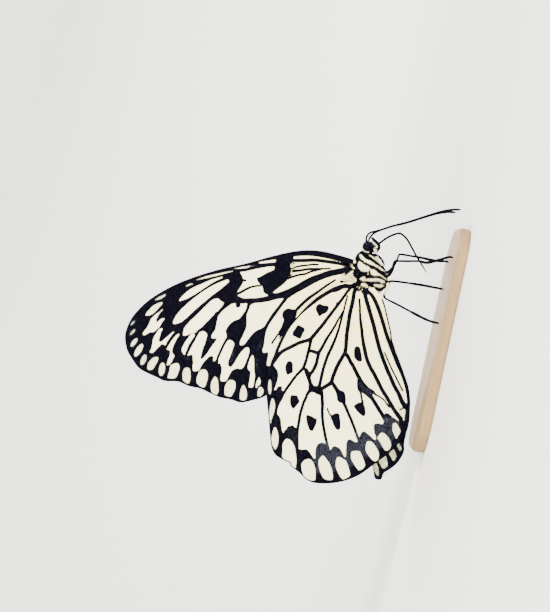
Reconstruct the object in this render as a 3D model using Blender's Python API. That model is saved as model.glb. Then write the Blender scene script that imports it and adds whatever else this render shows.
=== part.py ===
"""A paper kite butterfly at life size, still, with its wings closed over its back.

It stands on a flat display base. X runs forward along the base, Y to the butterfly's left and Z up, and the
origin is the middle of the base's underside. The picture shows the right side with the head up and the belly
to the right, so outlines are read in the picture's pixels and turned into metres by at().
"""

import math

import bmesh
import bpy
from mathutils import Vector, geometry

MM = 0.001

# Driving sizes
FOREWING_LENGTH = 66.0 * MM
WING_THICKNESS = 0.50 * MM
VEIN_HEIGHT = 0.18 * MM
VEIN_HALF_WIDTH = 0.45 * MM
GAP = 0.30 * MM
TRIM = 0.36 * MM
RIGHT, LEFT = -1, 1

# The base
BASE_LENGTH = 62.0 * MM
BASE_WIDTH = 36.0 * MM
BASE_HEIGHT = 3.0 * MM
BASE_CORNER = 9.0 * MM
BASE_EDGE = 0.6 * MM

# How the picture lies over the model
FOREWING_ROOT = (354.0, 262.0)
FOREWING_APEX = (126.0, 335.0)
PIXEL = FOREWING_LENGTH / math.dist(FOREWING_ROOT, FOREWING_APEX)
FLOOR_POINT = (461.0, 211.0)
FLOOR_LEAN = math.radians(12.0)
FLOOR_POINT_X = 36.0 * MM

# Smoothness
BODY_SIDES = 20
LIMB_SIDES = 8
SPAN_STEPS = 3
OUTLINE_STEP = 2.6 * MM
VEIN_STEP = 4.2 * MM
FILL_STEP = 5.0 * MM
SMALLEST = 1e-5 * MM

# Body forms: across and down in the picture, then depth, half height and half width in millimetres
THORAX = [
    (366.2, 250.0, 0.0, 0.8, 0.7),
    (366.1, 251.4, 0.0, 1.55, 1.3),
    (365.8, 254.0, 0.0, 2.25, 1.85),
    (365.6, 257.4, 0.0, 2.85, 2.3),
    (365.8, 261.7, 0.0, 3.40, 2.8),
    (366.8, 266.5, 0.0, 3.86, 3.1),
    (368.4, 271.2, 0.0, 4.25, 3.25),
    (370.7, 275.7, 0.0, 4.44, 3.25),
    (373.0, 280.3, 0.0, 4.36, 3.1),
    (374.9, 284.9, 0.0, 3.72, 2.7),
    (375.8, 289.9, 0.0, 2.67, 2.0),
    (376.8, 293.2, 0.0, 1.3, 1.0),
]
HEAD = [
    (368.6, 240.6, 0.0, 0.4, 0.4),
    (368.4, 241.8, 0.0, 1.15, 1.0),
    (368.3, 244.2, 0.0, 1.62, 1.4),
    (368.4, 247.2, 0.0, 1.80, 1.55),
    (368.8, 250.4, 0.0, 1.62, 1.4),
    (369.1, 252.8, 0.0, 1.05, 0.95),
    (369.2, 254.0, 0.0, 0.4, 0.4),
]
EYE_CENTRE = (367.1, 246.5)
EYE_DEPTH = 1.30 * MM
EYE_RADIUS = 1.36 * MM
EYE_HALF_WIDTH = 1.05 * MM
ABDOMEN = [
    (373.6, 286.0, 0.0, 1.2, 1.1),
    (374.2, 291.0, 0.0, 1.45, 1.35),
    (375.6, 300.0, 0.0, 1.72, 1.62),
    (377.4, 315.0, 0.0, 2.02, 1.88),
    (380.0, 331.0, 0.0, 2.10, 1.95),
    (383.4, 347.0, 0.0, 1.90, 1.78),
    (387.2, 361.0, 0.0, 1.55, 1.45),
    (390.4, 372.0, 0.0, 1.10, 1.02),
    (392.4, 378.5, 0.0, 0.62, 0.55),
    (393.2, 381.0, 0.0, 0.28, 0.26),
]
ABDOMEN_RINGS = 8
GROOVE_DEPTH = 0.07

# Mouthparts and feelers, drawn for one side and mirrored
PALP = [
    (372.0, 250.2, 1.00, 0.40, 0.38),
    (375.4, 250.8, 1.15, 0.55, 0.45),
    (378.0, 247.6, 1.25, 0.62, 0.46),
    (376.9, 243.8, 1.35, 0.58, 0.43),
    (374.3, 240.4, 1.50, 0.42, 0.36),
    (371.8, 237.4, 1.60, 0.20, 0.20),
]
PROBOSCIS = [
    (372.5, 247.3, 0.0, 0.27, 0.27),
    (379.0, 243.3, 0.0, 0.27, 0.27),
    (386.0, 238.3, 0.0, 0.26, 0.26),
    (393.5, 234.6, 0.0, 0.26, 0.26),
    (399.3, 233.2, 0.0, 0.26, 0.26),
    (403.2, 235.2, 0.0, 0.26, 0.26),
    (407.5, 239.8, 0.0, 0.25, 0.25),
    (411.8, 247.4, 0.0, 0.25, 0.25),
    (416.5, 256.0, 0.0, 0.25, 0.25),
    (421.3, 263.7, 0.0, 0.24, 0.24),
    (426.5, 272.5, 0.0, 0.16, 0.16),
]
ANTENNA_SHAFT = [
    (382.0, 229.4, 2.1, 0.25, 0.25),
    (390.0, 226.7, 2.8, 0.25, 0.25),
    (398.0, 224.6, 3.5, 0.25, 0.25),
    (407.0, 222.4, 4.3, 0.25, 0.25),
    (421.5, 217.8, 5.5, 0.25, 0.25),
    (438.5, 212.6, 6.9, 0.27, 0.27),
    (450.0, 210.8, 7.6, 0.28, 0.28),
    (458.0, 210.9, 8.1, 0.20, 0.20),
]
ANTENNA_RIGHT = [
    (366.6, 243.5, 0.60, 0.30, 0.30),
    (366.1, 239.5, 0.75, 0.27, 0.27),
    (367.0, 235.6, 0.95, 0.25, 0.25),
    (370.0, 232.6, 1.20, 0.25, 0.25),
    (375.5, 231.2, 1.60, 0.25, 0.25),
] + ANTENNA_SHAFT
ANTENNA_LEFT = [
    (368.6, 243.5, 0.60, 0.30, 0.30),
    (369.0, 239.8, 0.75, 0.27, 0.27),
    (370.6, 236.4, 0.95, 0.25, 0.25),
    (373.4, 233.5, 1.20, 0.25, 0.25),
    (377.0, 231.4, 1.60, 0.25, 0.25),
] + ANTENNA_SHAFT

# Legs: the last point of each walking leg is its foot, on the floor line
FORELEG = [
    (371.5, 255.2, 0.90, 0.42, 0.40),
    (376.0, 255.0, 1.20, 0.36, 0.34),
    (379.8, 257.4, 1.30, 0.30, 0.30),
    (382.6, 261.2, 1.25, 0.28, 0.28),
    (384.4, 265.6, 1.15, 0.20, 0.20),
]
MIDLEG_RIGHT = [
    (380.5, 271.5, 1.30, 0.62, 0.60),
    (386.4, 275.6, 1.75, 0.55, 0.52),
    (390.0, 272.8, 2.40, 0.46, 0.44),
    (392.2, 268.0, 3.10, 0.42, 0.40),
    (393.9, 262.0, 3.75, 0.34, 0.33),
    (396.4, 261.2, 3.95, 0.30, 0.30),
    (406.0, 261.3, 4.40, 0.28, 0.28),
    (418.5, 261.4, 5.00, 0.28, 0.28),
    (424.5, 262.9, 5.25, 0.34, 0.34),
    (432.0, 261.7, 5.55, 0.33, 0.33),
    (440.0, 259.4, 5.80, 0.31, 0.31),
    (447.4, 257.3, 6.00, 0.31, 0.31),
    (451.1, 258.1, 6.00, 0.30, 0.30),
]
MIDLEG_LEFT = [
    (380.5, 270.5, 1.30, 0.62, 0.60),
    (386.5, 272.6, 1.90, 0.50, 0.48),
    (391.9, 268.6, 2.80, 0.38, 0.37),
    (396.8, 261.6, 3.70, 0.30, 0.30),
    (399.7, 254.8, 4.45, 0.28, 0.28),
    (402.2, 253.8, 4.65, 0.28, 0.28),
    (409.0, 254.9, 4.95, 0.28, 0.28),
    (416.5, 256.0, 5.25, 0.28, 0.28),
    (424.5, 257.5, 5.55, 0.33, 0.33),
    (432.0, 259.1, 5.80, 0.33, 0.33),
    (440.0, 260.4, 6.10, 0.31, 0.31),
    (446.6, 260.6, 6.30, 0.31, 0.31),
    (450.3, 261.4, 6.30, 0.30, 0.30),
]
HINDLEG_RIGHT = [
    (381.5, 280.5, 1.10, 0.60, 0.58),
    (387.2, 283.0, 1.35, 0.50, 0.48),
    (386.9, 287.6, 1.50, 0.42, 0.40),
    (385.3, 292.0, 1.65, 0.36, 0.35),
    (383.7, 296.0, 1.85, 0.32, 0.32),
    (386.1, 298.9, 2.25, 0.28, 0.28),
    (393.5, 302.7, 2.90, 0.28, 0.28),
    (401.2, 306.8, 3.60, 0.28, 0.28),
    (408.5, 310.8, 4.20, 0.28, 0.28),
    (413.5, 313.5, 4.60, 0.34, 0.34),
    (420.5, 317.2, 5.10, 0.33, 0.33),
    (427.5, 320.4, 5.50, 0.31, 0.31),
    (433.6, 322.2, 5.80, 0.31, 0.31),
    (437.2, 323.0, 5.80, 0.30, 0.30),
]
HINDLEG_LEFT = [
    (381.5, 280.0, 1.10, 0.60, 0.58),
    (386.6, 282.6, 1.70, 0.48, 0.46),
    (389.4, 281.8, 2.90, 0.40, 0.38),
    (391.9, 280.8, 3.90, 0.32, 0.32),
    (396.0, 281.0, 4.15, 0.28, 0.28),
    (403.0, 281.8, 4.45, 0.28, 0.28),
    (410.0, 282.8, 4.75, 0.28, 0.28),
    (418.5, 284.0, 5.10, 0.33, 0.33),
    (426.0, 285.2, 5.45, 0.33, 0.33),
    (434.0, 286.8, 5.80, 0.31, 0.31),
    (440.8, 288.0, 6.10, 0.31, 0.31),
    (444.5, 288.8, 6.10, 0.30, 0.30),
]

# Wing outlines: leading edge, outer margin, inner margin
FOREWING_OUTLINE = [
    (362.0, 264.0), (352.0, 259.0), (337.0, 254.5), (322.0, 251.0), (308.0, 250.0), (292.0, 251.5),
    (270.0, 256.5), (245.0, 263.5), (220.0, 269.0), (195.0, 276.5), (175.0, 284.5), (160.0, 292.5),
    (148.0, 300.5), (138.0, 310.0), (131.0, 319.0), (126.5, 329.0), (125.0, 338.0), (127.0, 349.5),
    (132.0, 358.5), (138.5, 367.5), (147.0, 372.7), (156.0, 376.7), (165.0, 380.8), (178.0, 381.4),
    (189.0, 386.0), (200.0, 388.3), (210.0, 393.0), (220.0, 397.2), (231.0, 399.3), (241.0, 402.4),
    (254.0, 399.7), (265.0, 396.0), (275.0, 387.0), (292.0, 366.0), (311.0, 338.0), (330.0, 311.0),
    (344.0, 293.0), (352.0, 285.0), (361.0, 281.0),
]
HINDWING_LEADING_EDGE = [
    (367.0, 281.5), (356.0, 282.6), (348.0, 282.5), (340.0, 283.5), (324.0, 291.5), (308.0, 304.5),
    (296.0, 317.5), (283.0, 333.5), (275.5, 349.0), (270.0, 364.5),
]
HINDWING_MARGIN_RIGHT = [
    (266.5, 377.0), (266.2, 392.0), (268.0, 412.0), (269.5, 430.0), (271.3, 446.0), (275.5, 454.5),
    (283.0, 459.3), (289.5, 462.4), (291.0, 466.0), (299.0, 472.0), (306.0, 478.8), (314.0, 482.3),
    (328.0, 483.0), (342.0, 481.0), (356.0, 476.0), (366.0, 469.8), (375.0, 462.7), (384.0, 456.4),
    (394.0, 447.6), (401.0, 439.6), (405.0, 433.0), (408.0, 426.0), (409.4, 412.0), (409.9, 401.0),
    (409.0, 391.0), (407.4, 384.0), (404.5, 375.5), (401.5, 367.5), (397.5, 357.5), (393.6, 349.0),
    (391.8, 340.0), (390.6, 331.0), (388.0, 320.0), (385.2, 308.0), (382.4, 299.5),
]
HINDWING_MARGIN_LEFT = [
    (268.0, 377.0), (268.0, 392.0), (269.5, 412.0), (271.0, 430.0), (273.0, 445.0), (277.0, 452.5),
    (284.0, 457.0), (292.0, 462.0), (300.0, 470.0), (307.0, 476.2), (315.0, 479.6), (328.0, 480.4),
    (341.0, 478.5), (354.0, 474.0), (364.0, 469.0), (371.5, 465.0), (373.5, 471.5), (375.2, 478.8),
    (381.4, 479.6), (384.0, 473.4), (391.0, 469.0), (399.0, 461.5), (404.3, 451.5), (404.6, 443.0),
    (406.6, 434.0), (409.4, 423.0), (410.4, 411.0), (410.4, 400.0), (409.4, 391.0), (407.8, 384.0),
    (404.4, 373.0), (400.8, 362.5), (396.8, 351.0), (393.4, 342.0), (391.2, 333.0), (388.4, 321.5),
    (385.6, 309.5), (382.8, 300.0),
]
HINDWING_ROOT_EDGE = [(379.6, 294.6), (375.6, 290.8), (372.0, 286.0)]

# Main veins, from root to margin
FOREWING_VEINS = {
    "radius": [(350, 264.5), (325, 261.5), (305, 260.5), (275, 264.2), (250, 269), (228, 273), (205, 279),
               (190, 286), (168, 298), (150, 310), (134, 330)],
    "cubitus": [(350, 268), (340, 269.5), (320, 276.5), (300, 286.5), (280, 294.5), (260, 299.8), (232, 301)],
    "cell_end": [(238, 271), (241, 281), (236, 291), (232, 301)],
    "median_1": [(240, 276), (225, 279.3), (210, 285), (190, 298.3), (172, 312), (152, 330), (134, 350)],
    "median_2": [(237, 290), (215, 295.5), (195, 312), (178, 326), (162, 345), (149, 366)],
    "median_3": [(232, 301), (218, 315), (199, 331), (187, 354), (175, 377)],
    "cubitus_1": [(250, 301), (246, 313), (226, 341), (216, 361), (203, 386)],
    "cubitus_2": [(286, 296.5), (272, 317), (260, 338), (249, 357), (237, 378), (232, 396)],
    "anal": [(347, 276), (328, 284.5), (310, 298), (296, 310), (277, 334), (264, 357), (257, 376), (254, 394)],
}
HINDWING_VEINS = {
    "subcosta": [(358, 286), (340, 288), (325, 295.5), (310, 306.8), (295, 322.5), (282, 338), (273, 360)],
    "radius": [(355, 288), (343, 298), (330, 315), (311, 339.5), (293, 345.5), (279, 355), (272, 366)],
    "median_1": [(311, 339.5), (306.5, 360), (304, 368.5), (291, 382.5), (280, 400), (271, 424)],
    "cell_end": [(304, 368.5), (311, 387), (318, 390), (332, 381), (345, 353)],
    "median_2": [(311, 388), (303.5, 404), (298, 428), (297, 450), (299, 468)],
    "median_3": [(320, 391), (322, 409), (325, 435), (330, 456), (334, 479)],
    "cubitus_1": [(332, 381), (341, 399), (353, 426), (361, 446), (367, 466)],
    "cubitus_2": [(357, 290), (350.5, 311), (346, 340), (345, 353), (358, 376), (370, 395), (383, 416), (393, 442)],
    "fold": [(361, 296), (360, 319), (364, 354), (377, 381), (390, 402), (403, 424)],
    "anal_1": [(364, 290), (370, 314), (378, 346), (389, 378), (403, 405)],
    "anal_2": [(368, 291.5), (378.3, 312), (387.5, 338.5), (396, 356), (403.5, 377), (406.5, 392)],
}

# How far the wings stand from the middle plane, in metres, and how quickly they change
FOREWING_DEPTH = 0.72 * MM
FOREWING_ROOT_RISE = 1.15 * MM
FOREWING_ROOT_REACH = 7.0 * MM
FOREWING_HINGE = (356.0, 271.0)
HINDWING_DEPTH = 1.40 * MM
HINDWING_ROOT_RISE = 1.45 * MM
HINDWING_ROOT_REACH = 15.0 * MM
HINDWING_HINGE = (363.5, 285.5)
HINGE_DIP = 1.35 * MM
HINGE_DIP_REACH = 2.6 * MM
OVERLAP_RISE = 0.62 * MM
OVERLAP_FADE = 7.0 * MM
OVERLAP_LINE = [(352.0, 286.0), (311.0, 338.0), (275.0, 387.0)]
ABDOMEN_RISE = 1.10 * MM
ABDOMEN_REACH = 6.0 * MM

# Plain colours of the sub-parts, with roughness
CREAM = (0.87, 0.84, 0.72, 0.6)
BLACK = (0.012, 0.010, 0.022, 0.55)
EYE_BLACK = (0.010, 0.008, 0.016, 0.12)
STRAW = (0.78, 0.74, 0.52, 0.6)
PALE_WOOD = (0.62, 0.48, 0.33, 0.5)


def at(across, down, depth=0.0):
    """The point of the model that the picture shows at this place, this many metres off the middle plane."""
    right = across - FLOOR_POINT[0]
    below = down - FLOOR_POINT[1]
    back = below * math.cos(FLOOR_LEAN) - right * math.sin(FLOOR_LEAN)
    up = -right * math.cos(FLOOR_LEAN) - below * math.sin(FLOOR_LEAN)
    return Vector((FLOOR_POINT_X - back * PIXEL, depth, BASE_HEIGHT + up * PIXEL))


def clear_scene():
    for obj in list(bpy.data.objects):
        bpy.data.objects.remove(obj)


def material(name, colour):
    red, green, blue, roughness = colour
    made = bpy.data.materials.new(name)
    made.use_nodes = True
    shader = made.node_tree.nodes["Principled BSDF"]
    shader.inputs["Base Color"].default_value = (red, green, blue, 1.0)
    shader.inputs["Roughness"].default_value = roughness
    shader.inputs["Metallic"].default_value = 0.0
    return made


def node(name, bm, look):
    """A named object made from a bmesh, shaded smooth where it is round."""
    bmesh.ops.recalc_face_normals(bm, faces=bm.faces)
    mesh = bpy.data.meshes.new(name)
    bm.to_mesh(mesh)
    bm.free()
    mesh.shade_smooth()
    mesh.set_sharp_from_angle(angle=math.radians(40.0))
    obj = bpy.data.objects.new(name, mesh)
    obj.data.materials.append(look)
    bpy.context.scene.collection.objects.link(obj)
    return obj


def between(a, b, c, d, t):
    """Catmull-Rom value between b and c."""
    return 0.5 * (
        2.0 * b + (c - a) * t + (2.0 * a - 5.0 * b + 4.0 * c - d) * t * t + (3.0 * b - a - 3.0 * c + d) * t * t * t
    )


def smooth_row(rows, steps):
    """The rows of numbers with a smooth curve of this many steps through each span."""
    made = []
    last = len(rows) - 1
    for i in range(last):
        a, b, c, d = rows[max(i - 1, 0)], rows[i], rows[i + 1], rows[min(i + 2, last)]
        for step in range(steps):
            t = step / steps
            made.append(tuple(between(*values, t) for values in zip(a, b, c, d)))
    made.append(tuple(float(v) for v in rows[last]))
    return made


def resampled(points, step):
    """Points at even distances, near this step, along a polyline of 2D vectors."""
    lengths = [(b - a).length for a, b in zip(points, points[1:])]
    total = sum(lengths)
    count = max(1, round(total / step))
    made = [points[0].copy()]
    target, walked = total / count, 0.0
    for a, b, length in zip(points, points[1:], lengths):
        while walked + length >= target - SMALLEST and len(made) < count:
            made.append(a.lerp(b, (target - walked) / length))
            target += total / count
        walked += length
    made.append(points[-1].copy())
    return made


def ring_frame(points, i):
    """The two directions across a path at its point i: level with the picture, and out of it."""
    along = (points[min(i + 1, len(points) - 1)] - points[max(i - 1, 0)]).normalized()
    outward = Vector((0.0, 1.0, 0.0))
    outward = (outward - along * outward.dot(along)).normalized()
    return along.cross(outward), outward


def loft(stations, side=LEFT, sides=BODY_SIDES, steps=SPAN_STEPS, grow=0.0, foot=False, pinch=None):
    """A closed form through oval rings. Grow makes it larger all round, and a foot ends it in a level flat."""
    rows = smooth_row(stations, steps)
    points = [at(u, v, side * depth * MM) for u, v, depth, _, _ in rows]
    points[0] += (points[0] - points[1]).normalized() * grow
    points[-1] += (points[-1] - points[-2]).normalized() * grow
    if foot:
        points[-1].z = BASE_HEIGHT + GAP
    bm = bmesh.new()
    rings = []
    for i, (row, point) in enumerate(zip(rows, points)):
        level, outward = ring_frame(points, i)
        if foot and i == len(points) - 1:
            level, outward = Vector((1.0, 0.0, 0.0)), Vector((0.0, 1.0, 0.0))
        waist = pinch(i / (len(points) - 1)) if pinch else 1.0
        tall, wide = row[3] * MM * waist + grow, row[4] * MM * waist + grow
        turns = [2.0 * math.pi * k / sides for k in range(sides)]
        rings.append([
            bm.verts.new(point + level * tall * math.cos(turn) + outward * wide * math.sin(turn)) for turn in turns
        ])
    for one, two in zip(rings, rings[1:]):
        for k in range(sides):
            bm.faces.new((one[k], one[(k + 1) % sides], two[(k + 1) % sides], two[k]))
    bm.faces.new(rings[0])
    bm.faces.new(rings[-1])
    bmesh.ops.triangulate(bm, faces=bm.faces)
    return bm


def ellipsoid(centre, radius, half_width, grow=0.0):
    bm = bmesh.new()
    bmesh.ops.create_icosphere(bm, subdivisions=3, radius=1.0)
    for vert in bm.verts:
        vert.co.x *= radius + grow
        vert.co.y *= half_width + grow
        vert.co.z *= radius + grow
        vert.co += centre
    return bm


def keep_largest(obj):
    """Leaves only the largest closed surface of a mesh."""
    bm = bmesh.new()
    bm.from_mesh(obj.data)
    left, shells = set(bm.verts), []
    while left:
        shell, edge = set(), [left.pop()]
        while edge:
            vert = edge.pop()
            shell.add(vert)
            near = {e.other_vert(vert) for e in vert.link_edges} & left
            left -= near
            edge.extend(near)
        shells.append(shell)
    largest = max(shells, key=len)
    bmesh.ops.delete(bm, geom=[v for v in bm.verts if v not in largest], context="VERTS")
    bmesh.ops.triangulate(bm, faces=bm.faces)
    bm.to_mesh(obj.data)
    bm.free()


def trimmed(obj, *cutters):
    """Cuts the forms of its neighbours, grown by the gap, out of a piece."""
    for i, form in enumerate(cutters):
        cutter = node(f"{obj.name}_cutter_{i}", form, obj.data.materials[0])
        cut = obj.modifiers.new("cut", "BOOLEAN")
        cut.operation = "DIFFERENCE"
        cut.object = cutter
        graph = bpy.context.evaluated_depsgraph_get()
        mesh = bpy.data.meshes.new_from_object(obj.evaluated_get(graph))
        obj.modifiers.clear()
        obj.data = mesh
        bpy.data.objects.remove(cutter)
    keep_largest(obj)
    return obj


def chart(across, down):
    """A place in the picture, in metres."""
    return Vector((across * PIXEL, down * PIXEL))


def distance_to_line(point, line):
    best = math.inf
    for a, b in zip(line, line[1:]):
        run = b - a
        t = max(0.0, min(1.0, (point - a).dot(run) / run.length_squared))
        best = min(best, (point - a - run * t).length)
    return best


def bell(distance, reach):
    return math.exp(-((distance / reach) ** 2))


def forewing_depth(point):
    return FOREWING_DEPTH + FOREWING_ROOT_RISE * bell((point - chart(*FOREWING_HINGE)).length, FOREWING_ROOT_REACH)


def hindwing_depth(point):
    """The hindwing clears the forewing that it overlaps, and bulges round the abdomen."""
    to_hinge = (point - chart(*HINDWING_HINGE)).length
    overlap = distance_to_line(point, [chart(*p) for p in OVERLAP_LINE])
    abdomen = distance_to_line(point, [chart(u, v) for u, v, _, _, _ in ABDOMEN])
    above = point.x + point.y < sum(chart(*OVERLAP_LINE[1]))
    raised = OVERLAP_RISE * (1.0 if above else bell(overlap, OVERLAP_FADE))
    return (
        HINDWING_DEPTH
        + HINDWING_ROOT_RISE * bell(to_hinge, HINDWING_ROOT_REACH)
        - HINGE_DIP * bell(to_hinge, HINGE_DIP_REACH)
        + raised
        + ABDOMEN_RISE * bell(abdomen, ABDOMEN_REACH)
    )


def clear_of(point, lines, least):
    return all(distance_to_line(point, line) > least for line in lines)


def wing_plan(outline, veins):
    """Points and triangles of a flat wing, with an edge along each vein and along the foot of its ridge."""
    border = resampled(outline + [outline[0]], OUTLINE_STEP)[:-1]
    closed = border + [border[0]]
    points = list(border)
    edges = [(i, (i + 1) % len(border)) for i in range(len(border))]
    for line in veins:
        others = [other for other in veins if other is not line]
        across = [Vector((-(b - a).y, (b - a).x)).normalized() for a, b in zip(line, line[1:])]
        across.append(across[-1])
        for shift in (-VEIN_HALF_WIDTH, 0.0, VEIN_HALF_WIDTH):
            previous = None
            for point, direction in zip(line, across):
                moved = point + direction * shift
                free = clear_of(moved, others, 1.05 * VEIN_HALF_WIDTH) or shift == 0.0
                near_edge = distance_to_line(moved, closed) < 0.5 * VEIN_HALF_WIDTH
                if not free or near_edge or not in_outline(moved, closed):
                    previous = None
                    continue
                points.append(moved)
                if previous is not None:
                    edges.append((previous, len(points) - 1))
                previous = len(points) - 1
    points += fill_points(closed, veins)
    made = geometry.delaunay_2d_cdt(points, edges, [list(range(len(border)))], 1, 1e-7)
    return made[0], made[2]


def in_outline(point, closed):
    inside = False
    for a, b in zip(closed, closed[1:]):
        if (a.y > point.y) != (b.y > point.y):
            if point.x < a.x + (point.y - a.y) * (b.x - a.x) / (b.y - a.y):
                inside = not inside
    return inside


def fill_points(closed, veins):
    """A staggered grid of points over the membrane, clear of the edge and the veins."""
    low = Vector((min(p.x for p in closed), min(p.y for p in closed)))
    high = Vector((max(p.x for p in closed), max(p.y for p in closed)))
    rows = math.ceil((high.y - low.y) / FILL_STEP)
    columns = math.ceil((high.x - low.x) / FILL_STEP)
    made = []
    for row in range(rows):
        for column in range(columns):
            stagger = 0.5 * (row % 2)
            point = low + Vector((column + stagger, row + 0.5)) * FILL_STEP
            if not in_outline(point, closed) or distance_to_line(point, closed) < 0.4 * FILL_STEP:
                continue
            if clear_of(point, veins, 0.45 * FILL_STEP):
                made.append(point)
    return made


def wing(name, side, outline, veins, depth_at, look):
    """A membrane of even thickness with its veins raised on both faces."""
    border = [chart(*row) for row in smooth_row(outline + outline[:1], SPAN_STEPS)][:-1]
    lines = [resampled([chart(*row) for row in smooth_row(rows, SPAN_STEPS)], VEIN_STEP) for rows in veins.values()]
    points, triangles = wing_plan(border, lines)
    bm = bmesh.new()
    faces = []
    for face in (-1, 1):
        layer = []
        for point in points:
            nearest = min(distance_to_line(point, line) for line in lines)
            ridge = VEIN_HEIGHT * max(0.0, 1.0 - nearest / VEIN_HALF_WIDTH)
            off = depth_at(point) + face * (0.5 * WING_THICKNESS + ridge)
            layer.append(bm.verts.new(at(point.x / PIXEL, point.y / PIXEL, side * off)))
        faces.append(layer)
    inner, outer = faces
    for a, b, c in triangles:
        bm.faces.new((inner[a], inner[b], inner[c]))
        bm.faces.new((outer[c], outer[b], outer[a]))
    index = {vert: i for i, vert in enumerate(inner)}
    for edge in [e for e in bm.edges if e.is_boundary and e.verts[0] in index]:
        i, j = (index[v] for v in edge.verts)
        bm.faces.new((inner[i], inner[j], outer[j]))
        bm.faces.new((inner[i], outer[j], outer[i]))
    bmesh.ops.delete(bm, geom=[v for v in bm.verts if not v.link_faces], context="VERTS")
    return node(name, bm, look)


def stand_base(look):
    """A flat plate with round corners and eased edges."""
    bm = bmesh.new()
    corner_steps = 8
    inset_x, inset_y = 0.5 * BASE_LENGTH - BASE_CORNER, 0.5 * BASE_WIDTH - BASE_CORNER
    ring = []
    for quarter, (sx, sy) in enumerate(((1, 1), (-1, 1), (-1, -1), (1, -1))):
        for step in range(corner_steps + 1):
            turn = math.radians(90.0) * (quarter + step / corner_steps)
            x = sx * inset_x + BASE_CORNER * math.cos(turn)
            y = sy * inset_y + BASE_CORNER * math.sin(turn)
            ring.append(bm.verts.new((x, y, 0.0)))
    underside = bm.faces.new(ring)
    top = bmesh.ops.extrude_face_region(bm, geom=[underside])
    raised = [v for v in top["geom"] if isinstance(v, bmesh.types.BMVert)]
    bmesh.ops.translate(bm, verts=raised, vec=(0.0, 0.0, BASE_HEIGHT))
    obj = node("stand_base", bm, look)
    ease = obj.modifiers.new("eased edges", "BEVEL")
    ease.width = BASE_EDGE
    ease.segments = 2
    ease.limit_method = "ANGLE"
    ease.angle_limit = math.radians(60.0)
    return obj


def eye_form(side, grow=0.0):
    return ellipsoid(at(*EYE_CENTRE, side * EYE_DEPTH), EYE_RADIUS, EYE_HALF_WIDTH, grow)


def abdomen_rings(t):
    """The abdomen narrows a little at each joint between its rings."""
    return 1.0 - GROOVE_DEPTH * math.cos(math.pi * ABDOMEN_RINGS * t) ** 8


def build():
    clear_scene()
    cream, black = material("wing_cream", CREAM), material("body_black", BLACK)
    straw, wood = material("abdomen_straw", STRAW), material("pale_wood", PALE_WOOD)
    eye_black = material("eye_black", EYE_BLACK)

    thorax = node("thorax", loft(THORAX), black)
    trimmed(thorax, eye_form(RIGHT, TRIM), eye_form(LEFT, TRIM))
    head = node("head", loft(HEAD), black)
    trimmed(head, loft(THORAX, grow=TRIM), eye_form(RIGHT, TRIM), eye_form(LEFT, TRIM))
    abdomen = node("abdomen", loft(ABDOMEN, sides=16, pinch=abdomen_rings), straw)
    trimmed(abdomen, loft(THORAX, grow=TRIM))
    mouth = node("proboscis", loft(PROBOSCIS, sides=LIMB_SIDES, steps=2), black)
    trimmed(mouth, loft(HEAD, grow=TRIM))

    hindwing_outlines = {
        RIGHT: HINDWING_LEADING_EDGE + HINDWING_MARGIN_RIGHT + HINDWING_ROOT_EDGE,
        LEFT: HINDWING_LEADING_EDGE + HINDWING_MARGIN_LEFT + HINDWING_ROOT_EDGE,
    }
    for side, word in ((RIGHT, "right"), (LEFT, "left")):
        node(f"eye_{word}", eye_form(side), eye_black)
        palp = node(f"palp_{word}", loft(PALP, side, sides=10, steps=2), cream)
        trimmed(palp, loft(HEAD, grow=TRIM), loft(THORAX, grow=TRIM), eye_form(side, TRIM))
        feeler = node(
            f"antenna_{word}",
            loft(ANTENNA_RIGHT if side == RIGHT else ANTENNA_LEFT, side, sides=LIMB_SIDES, steps=2),
            black,
        )
        trimmed(feeler, loft(HEAD, grow=TRIM), eye_form(side, TRIM))
        foreleg = node(f"foreleg_{word}", loft(FORELEG, side, sides=LIMB_SIDES, steps=2), black)
        trimmed(foreleg, loft(THORAX, grow=TRIM))
        walking = {
            "midleg": MIDLEG_RIGHT if side == RIGHT else MIDLEG_LEFT,
            "hindleg": HINDLEG_RIGHT if side == RIGHT else HINDLEG_LEFT,
        }
        for leg, stations in walking.items():
            made = node(f"{leg}_{word}", loft(stations, side, sides=LIMB_SIDES, steps=2, foot=True), black)
            trimmed(made, loft(THORAX, grow=TRIM))
        forewing = wing(f"forewing_{word}", side, FOREWING_OUTLINE, FOREWING_VEINS, forewing_depth, cream)
        trimmed(forewing, loft(THORAX, grow=TRIM))
        hindwing = wing(f"hindwing_{word}", side, hindwing_outlines[side], HINDWING_VEINS, hindwing_depth, cream)
        trimmed(hindwing, loft(THORAX, grow=TRIM))
    stand_base(wood)


build()
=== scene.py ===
"""The looks of a life-size paper kite butterfly that stands on a display base with its wings closed.

Outlines and markings are written in the picture's pixels, across and down, and at() turns them into the
model's metres. A mark is a filled shape or a line of varying width, in black or cream, laid in order.
"""

import math

import bmesh
import bpy
import numpy as np
from mathutils import Matrix, Vector, noise


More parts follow.
